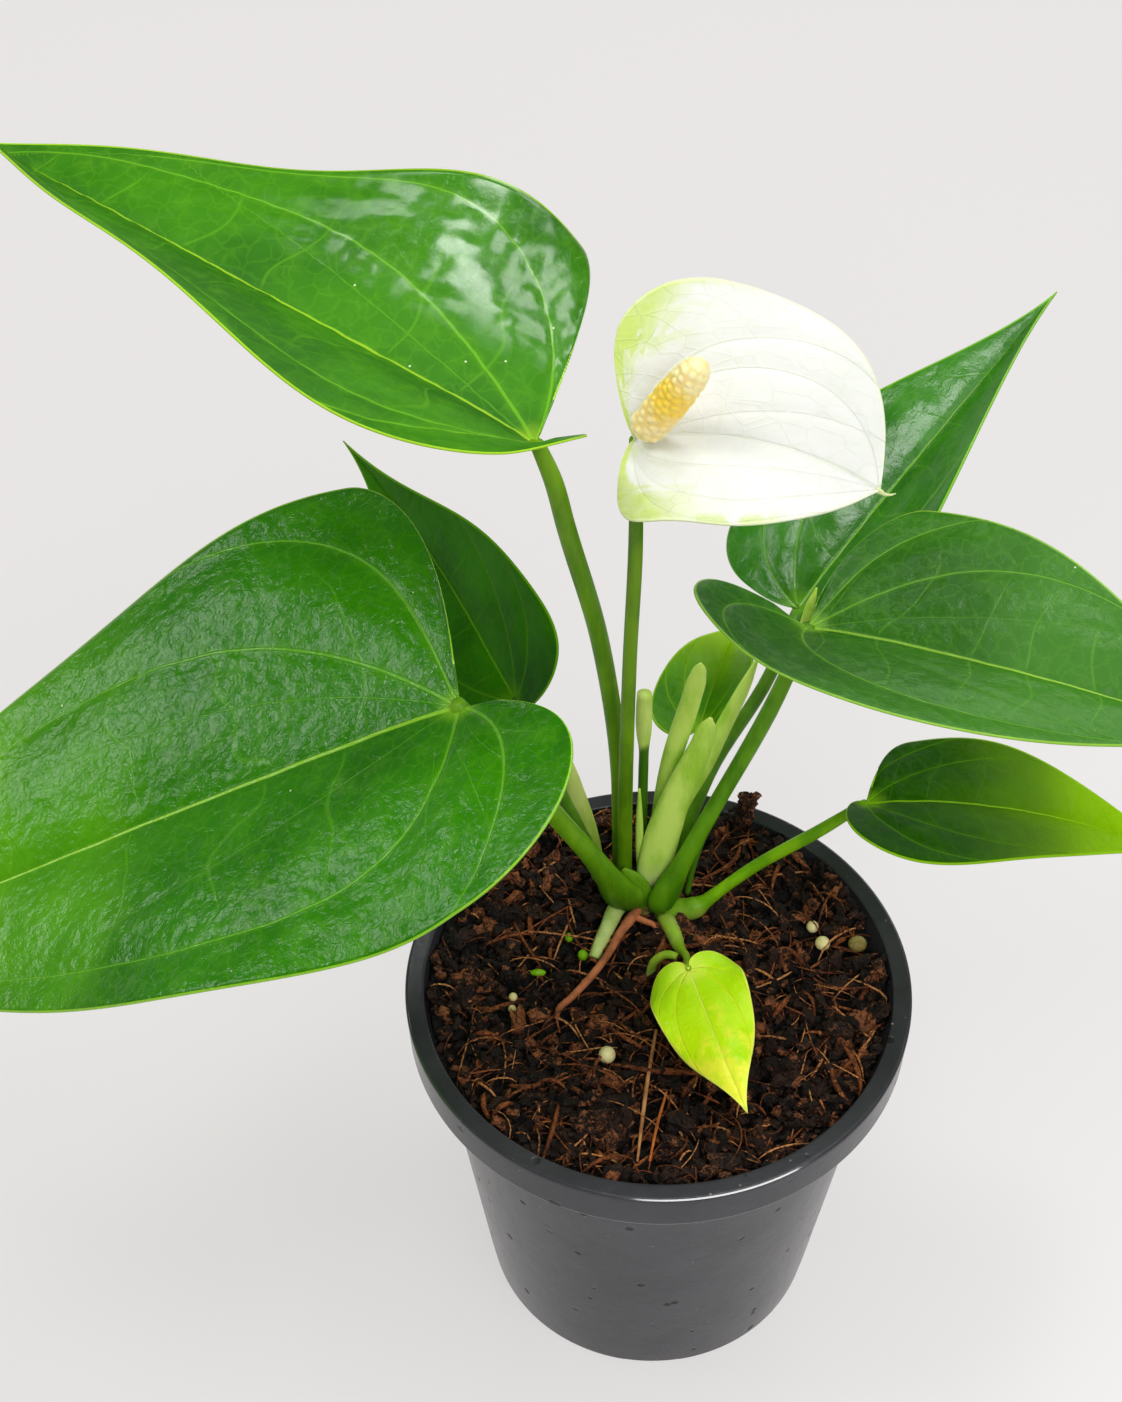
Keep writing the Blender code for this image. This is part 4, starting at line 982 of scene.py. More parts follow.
# Light, dark and the colour of the foot, with the heights that it fades between
STALK_COLOURS = {
    "petiole_upper_left": [(112, 158, 14), (84, 132, 4), (70, 112, 6)],
    "petiole_front_left": [(120, 168, 26), (86, 138, 8), (52, 112, 4)],
    "petiole_back_left": [(86, 134, 18), (62, 106, 8), (50, 84, 8)],
    "petiole_back_right": [(96, 146, 22), (70, 118, 8), (56, 96, 6)],
    "petiole_right": [(106, 162, 16), (72, 126, 4), (46, 104, 2)],
    "petiole_lower_right": [(140, 196, 14), (104, 164, 6), (150, 178, 66), 114, 108],
    "petiole_behind": [(110, 160, 24), (84, 132, 10)],
    "scape": [(106, 148, 10), (74, 118, 2), (60, 100, 4)],
}
stalk_skin = {name: streaked("stalk_" + name.replace("petiole_", ""), *colours)
              for name, colours in STALK_COLOURS.items()}
young_skin = streaked("stalk_young", (178, 210, 66), (130, 172, 24), (176, 196, 104), 113, 108, relief=0.25,
                      stretch=0.3, glow=0.1)

# %% Make the stalks
def join(bm, extra):
    mesh = as_mesh(extra, "extra")
    bm.from_mesh(mesh)
    bpy.data.meshes.remove(mesh)


def hand_tube(name, stations, skin, slot, extras=(), **shape):
    bm = bridged_tube(stations, **shape)
    for extra in extras:
        join(bm, bridged_tube(extra))
    hand_over(bm, name + "_skin", skin, slot, [name])


def hand_stalk(name, blade, stations, skin, slot="stalk"):
    end, top = blade_end(blade, stations[-1])
    hand_tube(name, stations + [end], skin, slot, STALK_WINGS.get(name, ()), top=top)


for name, stations in STALKS.items():
    hand_stalk(name, LEAVES[name.replace("petiole", "leaf")], stations, stalk_skin[name])
spathe_tip = bend(SPATHE, np.array([SPATHE["length"] - 0.5]), np.zeros(1), np.zeros(1))[0] * 1000
hook = [(*(spathe_tip + row[:3]), *row[3:]) for row in np.array(SPATHE_HOOK)]
hook_skin = streaked("spathe_hook_skin", (222, 228, 176), (204, 216, 140), None, relief=0.05, stretch=1)
hand_over(bridged_tube(hook, 12), "spathe_hook", hook_skin, "spathe")
hand_stalk("scape", SPATHE, SCAPE, stalk_skin["scape"])
hand_stalk("petiole_young", LEAVES["leaf_young"], YOUNG_STALK, young_skin, "sheath")
print("stalks:", sum(n.endswith("_skin") for n in pieces))

# %% [markdown]
# ## Sheaths, bud and old flower
# Papery sheaths wrap young leaves before they open. They are pale lime, nearly white along their edges, and
# light shows through them.

# %% Make the sheaths, the runner, the old flower and the bud
sheath_skin = streaked("sheath_skin", (210, 238, 112), (164, 210, 58), (222, 232, 160), 128, 112, 0.42, 0.10,
                       0.05, 0.15)
sheath_pale = streaked("sheath_pale", (198, 212, 118), (158, 188, 66), (188, 200, 120), 125, 112, 0.45, 0.10,
                       0.05, 0.15)
stub_skin = streaked("stub_skin", (218, 236, 132), (182, 212, 84), (62, 112, 8), 160, 156, 0.45, 0.2, 0.2)
bud_skin = streaked("bud_skin", (214, 238, 112), (160, 206, 52), (74, 122, 14), 192, 186, 0.42)
dry_skin = streaked("dry_skin", (150, 74, 34), (92, 40, 18), (80, 34, 16), 118, 112, 0.6, 0.3, 0.2)
for name, stations in SHEATHS.items():
    skin = sheath_pale if name == "sheath_left" else sheath_skin
    hand_tube(name, stations, skin, "sheath", SHEATH_WINGS.get(name, ()))
hand_tube("runner", RUNNER, young_skin, "sheath")
hand_tube("flower_stub", STUB, stub_skin, "sheath")
hand_tube("leaf_bud", BUD, bud_skin, "sheath")
hand_tube("sheath_dry", DRY_SHEATH, dry_skin, "dry_sheath")

# %% [markdown]
# ## The pot
# The pot is injection moulded: one profile turned round an axis. A spin of the profile gives the same shape
# that the mould has. No moulded edge is truly sharp: the rim's outer edge is a slant half a millimetre wide, and
# the bright line along the front of the rim is that slant mirroring a lamp.

# %% Profile of the pot
RIM_RADIUS = 65.0
RIM_INNER_RADIUS = 60.2
RIM_THICK = 1.6
POT_HEIGHT = 114.8
BAND_HEIGHT = 11.8
BAND_WALL = 1.4
BAND_DRAFT = 0.6
FOOT_ROUND = 1.1
BASE_RADIUS = 44.5
BODY_TOP_RADIUS = 59.3
WALL = 1.3
FLOOR = 1.6
band = POT_HEIGHT - BAND_HEIGHT


def pot_wall(z):
    return BASE_RADIUS + (BODY_TOP_RADIUS - BASE_RADIUS) * z / POT_HEIGHT


def arc(centre_r, centre_z, radius, start, stop, count):
    turns = [math.radians(start + (stop - start) * k / count) for k in range(count + 1)]
    return [(centre_r + radius * math.cos(a), centre_z + radius * math.sin(a)) for a in turns]


# The worn outer edge of the rim, in mm inward and down from its corner: a narrow slant with soft ends
RIM_EDGE = [(0.03, 1.6), (0.0, 0.8), (0.01, 0.52), (0.06, 0.39), (0.10, 0.36), (0.40, 0.14), (0.44, 0.11),
            (0.54, 0.05), (0.70, 0.01), (0.9, 0.0), (1.4, 0.0)]
POT_PROFILE = [
    *arc(BASE_RADIUS - FOOT_ROUND, FOOT_ROUND, FOOT_ROUND, -90, 0, 5),
    *[(pot_wall(band * k / 12), band * k / 12) for k in range(1, 12)],
    (pot_wall(band), band),
    (RIM_INNER_RADIUS + FOOT_ROUND, POT_HEIGHT - RIM_THICK),
    (RIM_RADIUS - BAND_WALL, POT_HEIGHT - RIM_THICK),
    (RIM_RADIUS - BAND_DRAFT - BAND_WALL, band + 0.3),
    (RIM_RADIUS - BAND_DRAFT - BAND_WALL + 0.3, band),
    (RIM_RADIUS - BAND_DRAFT - 0.2, band),
    (RIM_RADIUS - BAND_DRAFT, band + 0.2),
    (RIM_RADIUS - BAND_DRAFT + 0.02, band + 0.5),
    (RIM_RADIUS - 0.3, band + 6.0),
    *[(RIM_RADIUS - inward, POT_HEIGHT - below) for inward, below in RIM_EDGE],
    (RIM_INNER_RADIUS + 0.9, POT_HEIGHT),
    *arc(RIM_INNER_RADIUS + 0.4, POT_HEIGHT - 0.5, 0.5, 90, 180, 4),
    (RIM_INNER_RADIUS - 0.15, POT_HEIGHT - 1.2),
    (pot_wall(band) - WALL, band),
    (pot_wall(band / 2) - WALL, band / 2),
    (BASE_RADIUS - WALL, FLOOR),
]


# %% Spin the pot and cut its drain holes
def turned(profile, steps):
    bm = bmesh.new()
    verts = [bm.verts.new((mm(r), 0, mm(z))) for r, z in profile]
    edges = [bm.edges.new(pair) for pair in zip(verts, verts[1:])]
    bmesh.ops.spin(bm, geom=verts + edges, axis=(0, 0, 1), cent=(0, 0, 0), angle=2 * math.pi, steps=steps,
                   use_merge=True)
    bmesh.ops.remove_doubles(bm, verts=bm.verts, dist=1e-6)
    loops = [e for e in bm.edges if len(e.link_faces) == 1]
    for level in sorted({round(e.verts[0].co.z, 5) for e in loops}):
        ring = [e for e in loops if abs(e.verts[0].co.z - level) < 1e-4]
        bmesh.ops.contextual_create(bm, geom=ring)
    bmesh.ops.recalc_face_normals(bm, faces=bm.faces)
    return bm


def cut_holes(piece, cutter_bm):
    cutter = add_object("drain_cutter", as_mesh(cutter_bm, "drain_cutter"))
    cut = piece.modifiers.new("holes", "BOOLEAN")
    cut.operation = "DIFFERENCE"
    cut.object = cutter
    cut.solver = "EXACT"
    bpy.context.view_layer.update()
    done = bpy.data.meshes.new_from_object(piece.evaluated_get(bpy.context.evaluated_depsgraph_get()))
    piece.modifiers.clear()
    piece.data = done
    bpy.data.objects.remove(cutter)


# %% [markdown]
# Recycled grey plastic is satin, not glossy: it carries a faint mottling, a few dark and light specks, dust on
# the rim and shallow scuffs that only show in the gloss.

# %% Plastic
def pot_finish():
    paint = Paint("pot_plastic")
    here = paint.here()
    x, y, height = paint.parts(here)
    radius = (x * x + y * y) ** 0.5
    smudge = paint.cloud(here, 22, 4, 0.6)
    grain = paint.cloud(here, 0.8, 2)
    scuff = paint.cloud(paint.here((1, 1, 0.25)), 3, 5, 0.7)
    body = paint.mix(smudge.ramp(0.3, 0.7), rgb(48, 48, 53), rgb(60, 59, 64))
    # painted shade: the rim band takes a slightly darker copy of the body's plastic
    rim = paint.mix(smudge.ramp(0.3, 0.7), rgb(46, 46, 51), rgb(58, 57, 62))
    # painted highlight: a thin light line along the band's lower edge, where it would catch the light
    band_edge_highlight = height.ramp(band, band + 0.1) * height.ramp(band + 0.5, band + 0.35)
    dark = paint.cells(here, 8, "F1").ramp(0.17, 0.09) * paint.cloud(here, 14, 1).ramp(0.46, 0.54)
    light = paint.cells(paint.here((1.3, 1.1, 1.2)), 6, "F1").ramp(0.08, 0.04) * smudge.ramp(0.48, 0.58)
    dust = paint.cells(here, 4, "F1").ramp(0.10, 0.05) * paint.cloud(here, 9, 2).ramp(0.48, 0.58)
    colour = paint.layers(
        body, (height.ramp(band - 0.4, band + 0.2), rim), (band_edge_highlight * 0.6, rgb(150, 150, 152)),
        (dark * 0.8, rgb(12, 12, 14)), (light * 0.45, rgb(150, 138, 128)),
        (dust * height.ramp(band + 4, band + 10) * 0.7, rgb(170, 160, 150))
    )
    rough = 0.24 + (scuff - 0.5) * 0.14 + dust * 0.1 + dark * 0.2
    # Wear has polished the slant at the rim's outer edge
    slant = radius.ramp(RIM_RADIUS - 0.65, RIM_RADIUS - 0.5) * height.ramp(POT_HEIGHT - 0.5, POT_HEIGHT - 0.4)
    paint.join(slant * height.ramp(POT_HEIGHT - 0.04, POT_HEIGHT - 0.1), paint.shader.inputs["Coat Weight"])
    return paint.done(colour, rough, paint.bumps(grain * 0.03 + smudge * 0.25 + scuff * 0.05 - dark * 0.25),
                      Specular_Ior_Level=0.26, Coat_Roughness=0.10, Coat_Ior=1.9)


# %% Make the pot
POT_STEPS = 168
DRAIN_HOLES = 6
HOLE_RADIUS = 4
HOLE_CIRCLE = 31
NOTCH = (8, 15, 1.9)    # half of each cut-out of the foot lies outside the pot, half of its height under it

pot_plastic = pot_finish()
pot = hand_over(turned(POT_PROFILE, POT_STEPS), "pot_shell", pot_plastic, "pot_plastic", ["pot"])
bm = bmesh.new()
for k in range(DRAIN_HOLES):
    out = Matrix.Rotation(2 * math.pi * (k + 0.5) / DRAIN_HOLES, 4, "Z")
    bmesh.ops.create_cone(bm, cap_ends=True, segments=32, radius1=mm(HOLE_RADIUS), radius2=mm(HOLE_RADIUS),
                          depth=4 * mm(FLOOR), matrix=out @ Matrix.Translation((mm(HOLE_CIRCLE), 0, 0)))
    bmesh.ops.create_cube(bm, size=1.0, matrix=out @ Matrix.Translation((mm(BASE_RADIUS), 0, 0))
                          @ Matrix.Diagonal((*[mm(side) for side in NOTCH], 1)))
cut_holes(pot, bm)
print("pot faces:", len(pot.data.polygons))

# %% [markdown]
# ## The soil
# Potting soil is dark peat with coarse crumbs, bark chips and coir fibres. One rough bed fills the pot up to
# the rim, thousands of chunky crumbs lie on it, and curved fibres cross them. The deep blacks between the crumbs
# come from real gaps, which a bump on a flat disc couldn't give, and from painted shade low down between them.
# Beads and roots keep a small clearing.

# %% The bed
SOIL_TOP = 105.0
SOIL_EDGE_RISE = 4.0
SOIL_BACK_RISE = 4.6
SOIL_RADIUS = 57.4
SOIL_REACH = 58.2       # the crumbs end here, inside the wall
BED_RINGS, BED_STEPS = 84, 250
FIBRE_REACH = 58.6
FIBRE_RADIUS = 56.5
CRUMBS, CRUMB_LIMIT, CHUNK_LIMIT = 4600, 2200, 380      # the first ones are chunks, the last ones grains
FIBRES, THICK_FIBRES = 680, 110
FIBRE_SHORTEST, FIBRE_MORE = 4, 17
LUMP = (24.0, 54.6)
LUMP_LOW, LUMP_TALL = 110, 15
LUMP_CRUMBS = 80
BEADS = ("bead_cream", "bead_green", "bead_pale", "bead_small_left", "bead_lower_left", "bead_right",
         "nub_right", "grain_right", "sprout_left")
clearings = []
for name in BEADS:
    low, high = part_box(name)
    clearings.append((*((low + high) * 500)[:2], (high.x - low.x) * 500 + 0.7))
for stations in (*ROOTS.values(), *FREE_ROOTS.values()):
    clearings += [(row[0], row[1], row[3] + 0.6) for row in smooth_path(stations, 4)]


# How far a point is from everything that lies on the soil
def room(x, y):
    return min(math.hypot(x - cx, y - cy) - reach for cx, cy, reach in clearings)


def bed_height(x, y):
    place = Vector((x, y, 0))
    rough = 2.6 * noise.noise(place / 8) + 2.0 * noise.noise(place / 3.2 + Vector((9, 0, 0)))
    rough += 0.8 * noise.noise(place / 1.3)
    mound = 2.0 * math.exp(-((x + 3.5) ** 2 + (y - 33) ** 2) / 150)
    out = (x * x + y * y) / SOIL_RADIUS**2
    back = SOIL_BACK_RISE * out**3 * min(1, max(0, (y + 25) / 35)) * min(1, max(0, room(x, y) / 5))
    return SOIL_TOP + SOIL_EDGE_RISE * out + back + rough + mound - 1.2


def make_bed(finish):
    side = pot_wall(band) - WALL - 0.4
    profile = [(BASE_RADIUS - WALL - 0.6, FLOOR + 0.4), (side, band)]
    profile += [(SOIL_RADIUS + 1.2 - SOIL_REACH * k / BED_RINGS, SOIL_TOP) for k in range(BED_RINGS + 1)]
    bm = turned(profile, BED_STEPS)
    for vert in bm.verts:
        x, y, z = vert.co * 1000
        if z > band + 0.5:
            vert.co.z = mm(bed_height(x, y))
    return hand_over(bm, "soil_bed", finish, "soil", ["soil"])


# %% Colours of soil, crumbs and fibres
def soil_finish(name, dark, light, warm, tint):
    paint = Paint(name)
    here = paint.here()
    clump = paint.cloud(here, 7, 3, 0.6)
    torn = paint.cloud(paint.here((1, 1, 1.6)), 1.3, 5, 0.62, 0.8)
    grain = paint.cloud(here, 0.5, 3, 0.7)
    pits = paint.cells(here, 0.85, "F1").ramp(0.55, 0.15)
    tone, above, _ = paint.parts(paint.read("tone"))
    warmth = ((torn - 0.5) * 1.7 + tone * 0.8).ramp(0.42, 0.78) * tint
    # painted shade: the small pits, sunk by the bump, are painted near black
    colour = paint.layers(
        dark, (clump.ramp(0.40, 0.62), light), (warmth, warm), (pits * 0.55, rgb(9, 5, 3)),
        (above.ramp(3.1, 0.4) * 0.90, rgb(7, 3, 2))     # painted shade: deep between the crumbs the peat is painted nearly black
    )
    height = grain * 0.22 + torn * 0.6 - pits * 0.25
    return paint.done(colour, 0.66, paint.bumps(height), Specular_Ior_Level=0.28)


bed_paint = soil_finish("peat", rgb(12, 6, 3), rgb(24, 13, 8), rgb(56, 32, 18), 0.5)
crumb_paint = soil_finish("crumb", rgb(20, 11, 8), rgb(48, 28, 18), rgb(156, 92, 54), 0.86)
fibre_paint = soil_finish("fibre", rgb(96, 48, 22), rgb(152, 84, 42), rgb(228, 156, 94), 0.9)
make_bed(bed_paint)

# %% [markdown]
# A crumb starts as a cube cut once across each edge, and each corner is pushed a little, which gives a
# chunky lump with few faces; the largest are cut twice and the finest grains not at all. Under thirty such
# lumps, each turned and sized anew, never look like copies. Their faces stay flat, because torn bark and peat
# have edges.

# %% Crumbs
picked = np.random.default_rng(7)
noise.seed_set(7)       # noise_vector would start from another place on each run


def crumb_shape(seed, cuts):
    bm = bmesh.new()
    bmesh.ops.create_cube(bm, size=1.0)
    if cuts:
        bmesh.ops.subdivide_edges(bm, edges=bm.edges, cuts=cuts, use_grid_fill=True)
    for vert in bm.verts:
        vert.co = vert.co.lerp(vert.co.normalized() * 0.6, 0.30)
        vert.co += noise.noise_vector(vert.co * 2.3 + Vector((seed * 3.1, 0, 0))) * 0.40
    mesh = as_mesh(bm, "crumb_%d" % seed)
    mesh.attributes.new("tone", "FLOAT_VECTOR", "POINT")
    return mesh


def scatter(bm, shape, matrix, tone, base):
    copy = shape.copy()
    copy.transform(matrix)
    tones = np.full((len(copy.vertices), 3), tone)
    tones[:, 1] = [vert.co.z * 1000 - base for vert in copy.vertices]
    copy.attributes["tone"].data.foreach_set("vector", tones.ravel())
    bm.from_mesh(copy)
    bpy.data.meshes.remove(copy)


def any_place(reach):
    radius = reach * math.sqrt(picked.uniform(0, 1))
    angle = picked.uniform(0, 2 * math.pi)
    return radius * math.cos(angle), radius * math.sin(angle)


def any_turn():
    return Matrix.Rotation(picked.uniform(0, 6.28), 4, Vector(picked.normal(size=3)).normalized())


CRUMB_STRETCH = ((0.9, 1.7), (0.55, 1.0), (0.45, 0.85))


def lay_crumb(bm, shape, x, y, size, raised):
    stretch = [mm(size * picked.uniform(low, high)) for low, high in CRUMB_STRETCH]
    base = bed_height(x, y)
    z = base + raised * size * picked.uniform(0.4, 1.5)
    scatter(bm, shape, Matrix.Translation((mm(x), mm(y), mm(z))) @ any_turn()
            @ Matrix.Diagonal((*stretch, 1)), picked.uniform(0, 1) ** 1.9, base)


# %% Scatter the crumbs
chunk_shapes = [crumb_shape(seed, 2) for seed in range(10)]
crumb_shapes = [crumb_shape(seed, 1) for seed in range(10, 22)]
grain_shapes = [crumb_shape(seed, 0) for seed in range(22, 28)]
bm = bmesh.new()
bm.verts.layers.float_vector.new("tone")
for k in range(CRUMBS):
    x, y = any_place(SOIL_REACH)
    size, shape, raised = 0.6 + 1.2 * picked.uniform(0, 1) ** 1.5, grain_shapes[k % 6], 1.3
    if k < CHUNK_LIMIT:
        size, shape, raised = 2.6 + 2.6 * picked.uniform(0, 1) ** 2.0, chunk_shapes[k % 10], 0.45
    elif k < CRUMB_LIMIT:
        size, shape, raised = 1.5 + 1.6 * picked.uniform(0, 1) ** 1.4, crumb_shapes[k % 12], 0.75
    if room(x, y) > 0.45 * size:
        lay_crumb(bm, shape, x, y, size, raised)
# A lump of coir has been left standing at the back of the rim
for k in range(LUMP_CRUMBS):
    level = picked.uniform(0, 1)
    spread = 1.7 - 0.8 * level
    x, y = LUMP[0] + picked.normal() * spread, LUMP[1] + picked.normal() * spread * 0.7
    size = mm(picked.uniform(0.9, 2.2))
    place = Matrix.Translation((mm(x), mm(y), mm(LUMP_LOW + LUMP_TALL * level)))
    scatter(bm, crumb_shapes[k % 12], place @ any_turn()
            @ Matrix.Diagonal((size * 1.4, size * 0.8, size * 0.7, 1)), picked.uniform(0, 0.8), 107)
hand_over(bm, "soil_crumbs", crumb_paint, "soil", smooth=False, outward=False)

# %% [markdown]
# A fibre is a straight thin tube, made by extruding a ring, then bent a little and dipped at both ends so that
# it disappears among the crumbs.

# %% Fibres
def fibre_shape():
    bm = bmesh.new()
    ring = bmesh.ops.create_circle(bm, segments=4, radius=1.0)["verts"]
    edges = list(dict.fromkeys(e for v in ring for e in v.link_edges))
    for _ in range(7):
        made = bmesh.ops.extrude_edge_only(bm, edges=edges)["geom"]
        bmesh.ops.translate(bm, verts=[g for g in made if isinstance(g, bmesh.types.BMVert)], vec=(0, 0, 1 / 7))
        edges = [g for g in made if isinstance(g, bmesh.types.BMEdge)
                 and abs(g.verts[0].co.z - g.verts[1].co.z) < 1e-6]
    return bm


def lay_fibre(bm, x, y, heading, length, radius, arc_turn, tilt, tone, lift):
    made = fibre_shape()
    layer = made.verts.layers.float_vector.new("tone")
    base = bed_height(x, y)
    for vert in made.verts:
        u = vert.co.z - 0.5
        turn = heading + arc_turn * u
        px = x + length * u * math.cos(turn)
        py = y + length * u * math.sin(turn)
        thin = radius * (1 - 0.5 * (2 * u) ** 2)
        pz = base + lift + length * u * tilt - 2.4 * abs(2 * u) ** 3
        reach = math.hypot(px, py)
        if reach > FIBRE_REACH:
            px, py = px * FIBRE_REACH / reach, py * FIBRE_REACH / reach
        vert.co = Vector((px - math.sin(turn) * vert.co.x * thin, py + math.cos(turn) * vert.co.x * thin,
                          pz + vert.co.y * thin)) * 0.001
        vert[layer] = (tone, vert.co.z * 1000 - base, 0)
    join(bm, made)


# %% Scatter the fibres
bm = bmesh.new()
bm.verts.layers.float_vector.new("tone")
for k in range(FIBRES):
    x, y = any_place(FIBRE_RADIUS)
    length = FIBRE_SHORTEST + FIBRE_MORE * picked.uniform(0, 1) ** 1.4
    stout = k < THICK_FIBRES
    thick = 0.42 + 0.45 * picked.uniform(0, 1) if stout else 0.13 + 0.28 * picked.uniform(0, 1) ** 1.6
    lay_fibre(bm, x, y, picked.uniform(0, 6.28), length, thick,
              picked.normal() * 0.45, picked.normal() * 0.12, picked.uniform(0, 1) * (0.55 if stout else 1),
              picked.uniform(2.0, 4.4))
# Fibres that stand out: x, y, heading, length and bend; two lie crossed at the front
for x, y, heading, length, arc_turn in ((-13.9, -45, -0.71, 16.5, 0.25), (-16, -49.6, -0.25, 15, -0.2),
                                        (9, -26, 1.25, 9, 0.5), (20, -33, 1.0, 8, -0.6), (31, 6, 0.5, 16, 0.5)):
    lay_fibre(bm, x, y, heading, length, 0.32, arc_turn, 0, 0.95, 3.8)
hand_over(bm, "soil_fibres", fibre_paint, "soil")
print("crumbs and fibres:", [len(pieces[n].data.polygons) for n in ("soil_crumbs", "soil_fibres")])

# %% [markdown]
# ## Crown, roots and beads
# The stalks spring from a short brown crown, ringed where older leaves sat. Thick roots lie over the soil, and
# small pale beads and sprouts are scattered on it. The roots are laid on the plant's own soil solid: a ray
# straight down finds its height at each station.

# %% The height of the soil solid
soil_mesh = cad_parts["soil"].data
soil_tree = BVHTree.FromPolygons([v.co for v in soil_mesh.vertices], [p.vertices for p in soil_mesh.polygons])


RAY_START = 0.23
PROBES = (-0.9, -0.6, -0.3, 0, 0.3, 0.6, 0.9)
CLEARANCE = 0.4


# The height at which something of this reach and depth just clears the soil
def rest_height(x, y, reach, depth):
    heights = []
    for dx, dy in [(dx, dy) for dx in PROBES for dy in PROBES if dx * dx + dy * dy < 1]:
        start = Vector((mm(x + dx * reach), mm(y + dy * reach), RAY_START))
        hit = soil_tree.ray_cast(start, Vector((0, 0, -1)))
        heights.append(hit[0].z / mm(1) + depth * math.sqrt(1 - dx * dx - dy * dy))
    return max(heights) + CLEARANCE


# %% Roots and crown
root_skins = {
    "root_pale": streaked("root_pale_skin", (206, 220, 142), (158, 184, 88), None, gloss=0.5, stretch=0.6),
    "root_brown": streaked("root_brown_skin", (196, 118, 76), (132, 74, 44), None, gloss=0.55, relief=0.25,
                           stretch=0.6),
    "root_tan": streaked("root_tan_skin", (206, 148, 96), (150, 92, 52), None, gloss=0.6, stretch=0.8),
    "root_orange": streaked("root_orange_skin", (206, 116, 52), (164, 82, 34), None, gloss=0.6, stretch=0.8),
}
laid_roots = dict(FREE_ROOTS)
for name, stations in ROOTS.items():
    laid_roots[name] = [(x, y, rest_height(x, y, 3.0, b) + lift - b, a, b) for x, y, lift, a, b in stations]
for name, stations in laid_roots.items():
    slot = "root_pale" if name == "root_pale" else "root_brown"
    branches = [ROOT_BRANCH] if name == "root_brown" else ()
    hand_tube(name, stations, root_skins[name], slot, branches, sides=16, between=10)

CROWN_RINGS = [(0, 0.80), (0.40, 0.86), (0.62, 0.80), (0.74, 0.84), (0.86, 0.72), (0.94, 0.66), (1.0, 0.40)]
CROWN_FOOT = (-3.0, 33.6, 96)
CROWN_TALL, CROWN_WIDE, CROWN_DEEP = 16.5, 12.6, 9.0
crown_stations = [(*CROWN_FOOT[:2], CROWN_FOOT[2] + CROWN_TALL * level, CROWN_WIDE * share, CROWN_DEEP * share)
                  for level, share in CROWN_RINGS]
crown_skin = streaked("crown_skin", (112, 104, 52), (58, 40, 22), (34, 22, 13), 111, 107, 0.6, 0.6, 0.5)
bm = bridged_tube(crown_stations, 40, 6)
for vert in bm.verts:
    vert.co += noise.noise_vector(vert.co * 420) * mm(0.7)
hand_over(bm, "crown_skin", crown_skin, "crown", ["crown"])


# %% Beads and sprouts
def make_bead(name, finish, slot):
    low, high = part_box(name)
    centre, half = (low + high) / 2, (high - low) / 2
    bm = bmesh.new()
    bmesh.ops.create_icosphere(bm, subdivisions=3, radius=1.0,
                               matrix=Matrix.Translation(centre) @ Matrix.Diagonal((*half, 1)))
    hand_over(bm, name + "_round", finish, slot, [name])


cream = streaked("bead_cream_skin", (240, 230, 172), (218, 198, 126), None, gloss=0.3, stretch=1, glow=0.2)
husk = streaked("bead_husk_skin", (190, 178, 112), (128, 110, 56), None, gloss=0.4, stretch=1, glow=0.2)
lime_bead = streaked("bead_green_skin", (150, 204, 24), (104, 164, 6), None, gloss=0.35, stretch=1, glow=0.2)
bead_skins = {"grain_right": (husk, "bead"), "bead_green": (lime_bead, "sprout"),
              "bead_pale": (lime_bead, "sprout"), "sprout_left": (lime_bead, "sprout")}
for name in BEADS:
    make_bead(name, *bead_skins.get(name, (cream, "bead")))

# %% [markdown]
# ## The spadix
# The yellow spike is packed with tiny flowers in crossing spirals, each a smooth bead. They are modelled as
# raised domes on one rolled-up grid: every point of the grid is lifted by its distance to the nearest flower.

# %% Spike
SPADIX_BASE = (-6.3, 37.4, 273.4)
SPADIX_TIP = (6.1, 32.8, 298.4)
SPADIX_RADIUS = 4.15
FLOWER_ROWS, FLOWERS_AROUND = 14, 11
FLOWER_RADIUS = 1.42
FLOWER_HEIGHT = 0.42


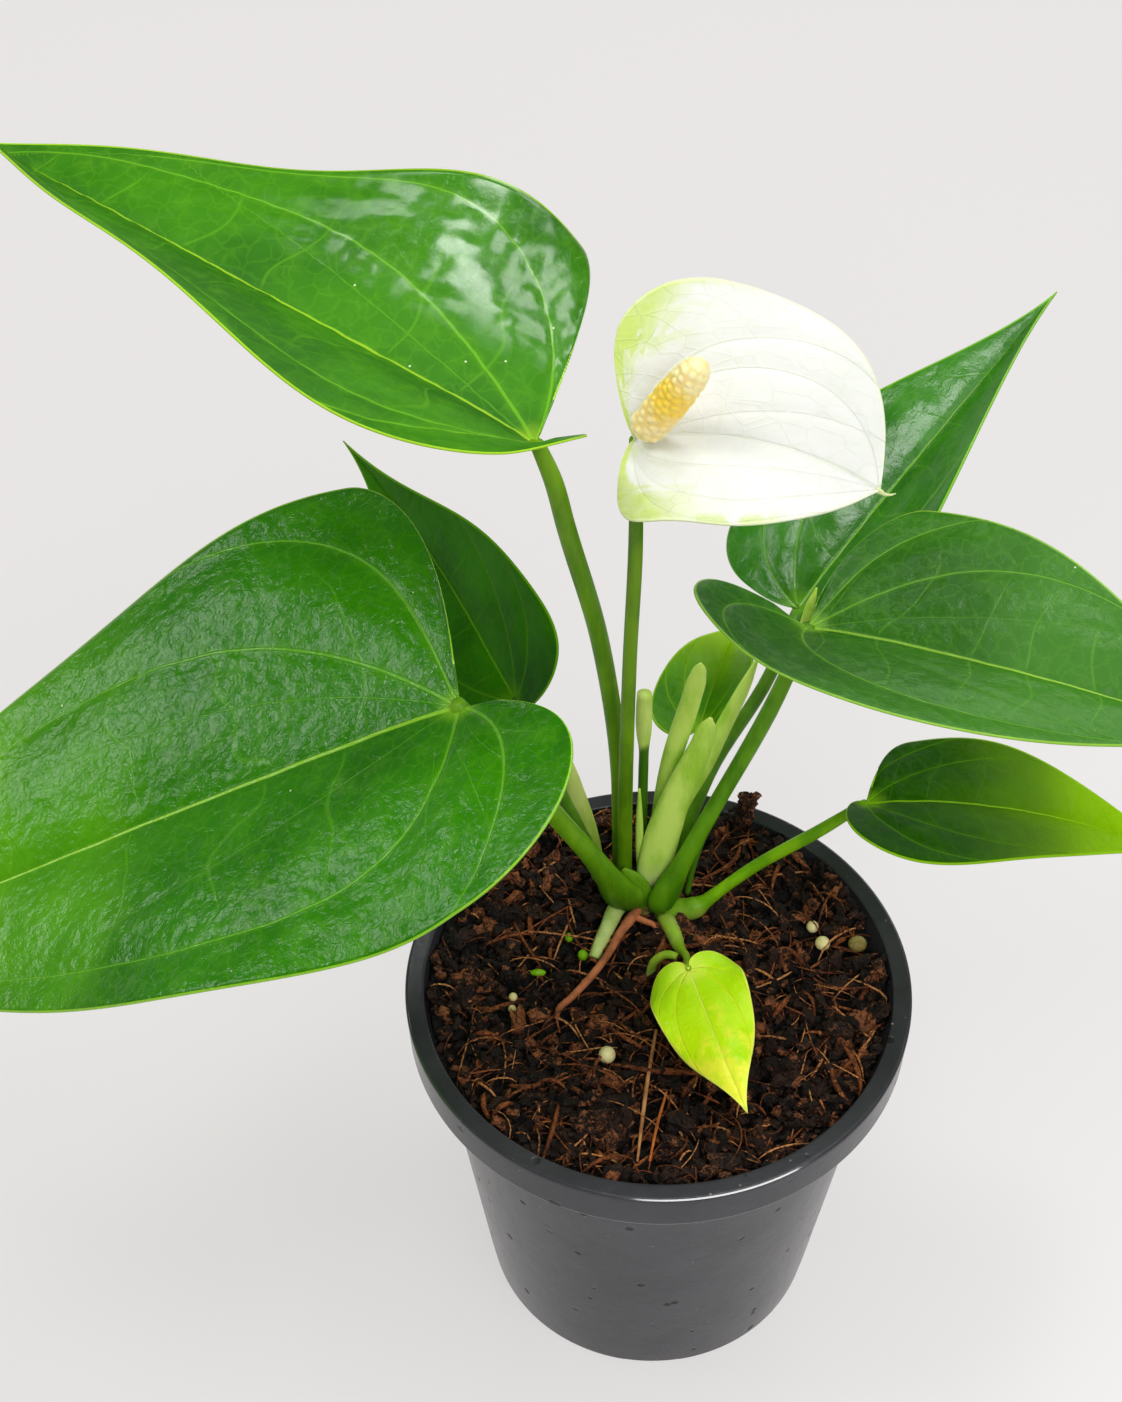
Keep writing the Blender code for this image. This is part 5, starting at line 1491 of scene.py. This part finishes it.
def make_spadix(finish):
    base = Vector(SPADIX_BASE)
    axis = Vector(SPADIX_TIP) - base
    length = axis.length
    turn = axis.to_track_quat("Z", "Y").to_matrix().to_4x4()
    chance = np.random.default_rng(3)
    flowers = []
    for row in range(FLOWER_ROWS):
        for k in range(FLOWERS_AROUND):
            u = (row + 0.5 + 0.18 * chance.normal()) / FLOWER_ROWS
            angle = 2 * math.pi * (k + 0.5 * (row % 2) + 0.10 * row + 0.13 * chance.normal()) / FLOWERS_AROUND
            flowers.append((u * length, angle, chance.uniform(0.8, 1.15)))
    flowers = np.array(flowers)
    bm = bmesh.new()
    bmesh.ops.create_grid(bm, x_segments=150, y_segments=120, size=1.0)
    layer = bm.verts.layers.float_vector.new("tone")
    for vert in bm.verts:
        u = (vert.co.x + 1) / 2
        angle = math.pi * (vert.co.y + 1)
        radius = SPADIX_RADIUS + 0.5 * math.sin(math.pi * u) - 0.9 * u
        radius *= math.sqrt(max(1 - max(0, (u - 0.82) / 0.18) ** 2, 0)) * min(1, 0.75 + 3 * u)
        radius *= math.sqrt(min(1, u / 0.02))
        swing = (flowers[:, 1] - angle + math.pi) % (2 * math.pi) - math.pi
        gap = np.hypot(flowers[:, 0] - u * length, swing * max(radius, 0.5)) / (FLOWER_RADIUS * flowers[:, 2])
        dome = (0.5 + 0.5 * math.cos(math.pi * min(gap.min(), 1))) * FLOWER_HEIGHT
        dome *= 1 - 0.6 * max(0, (u - 0.8) / 0.2)
        out = radius + (dome - 0.1) * min(1, radius / 1.5)
        vert.co = Vector((out * math.cos(angle), out * math.sin(angle), u * length))
        vert[layer] = (u, dome / FLOWER_HEIGHT, 0)
    bmesh.ops.remove_doubles(bm, verts=bm.verts, dist=0.01)
    bmesh.ops.transform(bm, matrix=Matrix.Scale(0.001, 4) @ Matrix.Translation(base) @ turn, verts=bm.verts)
    return hand_over(bm, "spadix_spike", finish, "spadix", ["spadix"])


# %% Finish of the spike
def spadix_finish():
    paint = Paint("spadix_yellow")
    share, dome, _ = paint.parts(paint.read("tone"))
    uneven = paint.cloud(paint.here(), 2.2, 2)
    share = share + (uneven - 0.5) * 0.25
    # The last layer is painted shade: the low gaps between the flowers are a deeper orange
    colour = paint.layers(
        rgb(246, 226, 162), (share.ramp(0.24, 0.50), rgb(254, 214, 76)),
        (share.ramp(0.60, 0.84), rgb(254, 238, 178)), (dome.ramp(0.40, 0.0) * 0.34, rgb(246, 190, 60))
    )
    return paint.done(colour, 0.28, None, Subsurface_Weight=0.35, Subsurface_Radius=(1.0, 0.6, 0.2),
                      Subsurface_Scale=0.001, Specular_Ior_Level=0.5)


spike = make_spadix(spadix_finish())
print("spadix faces:", len(spike.data.polygons))
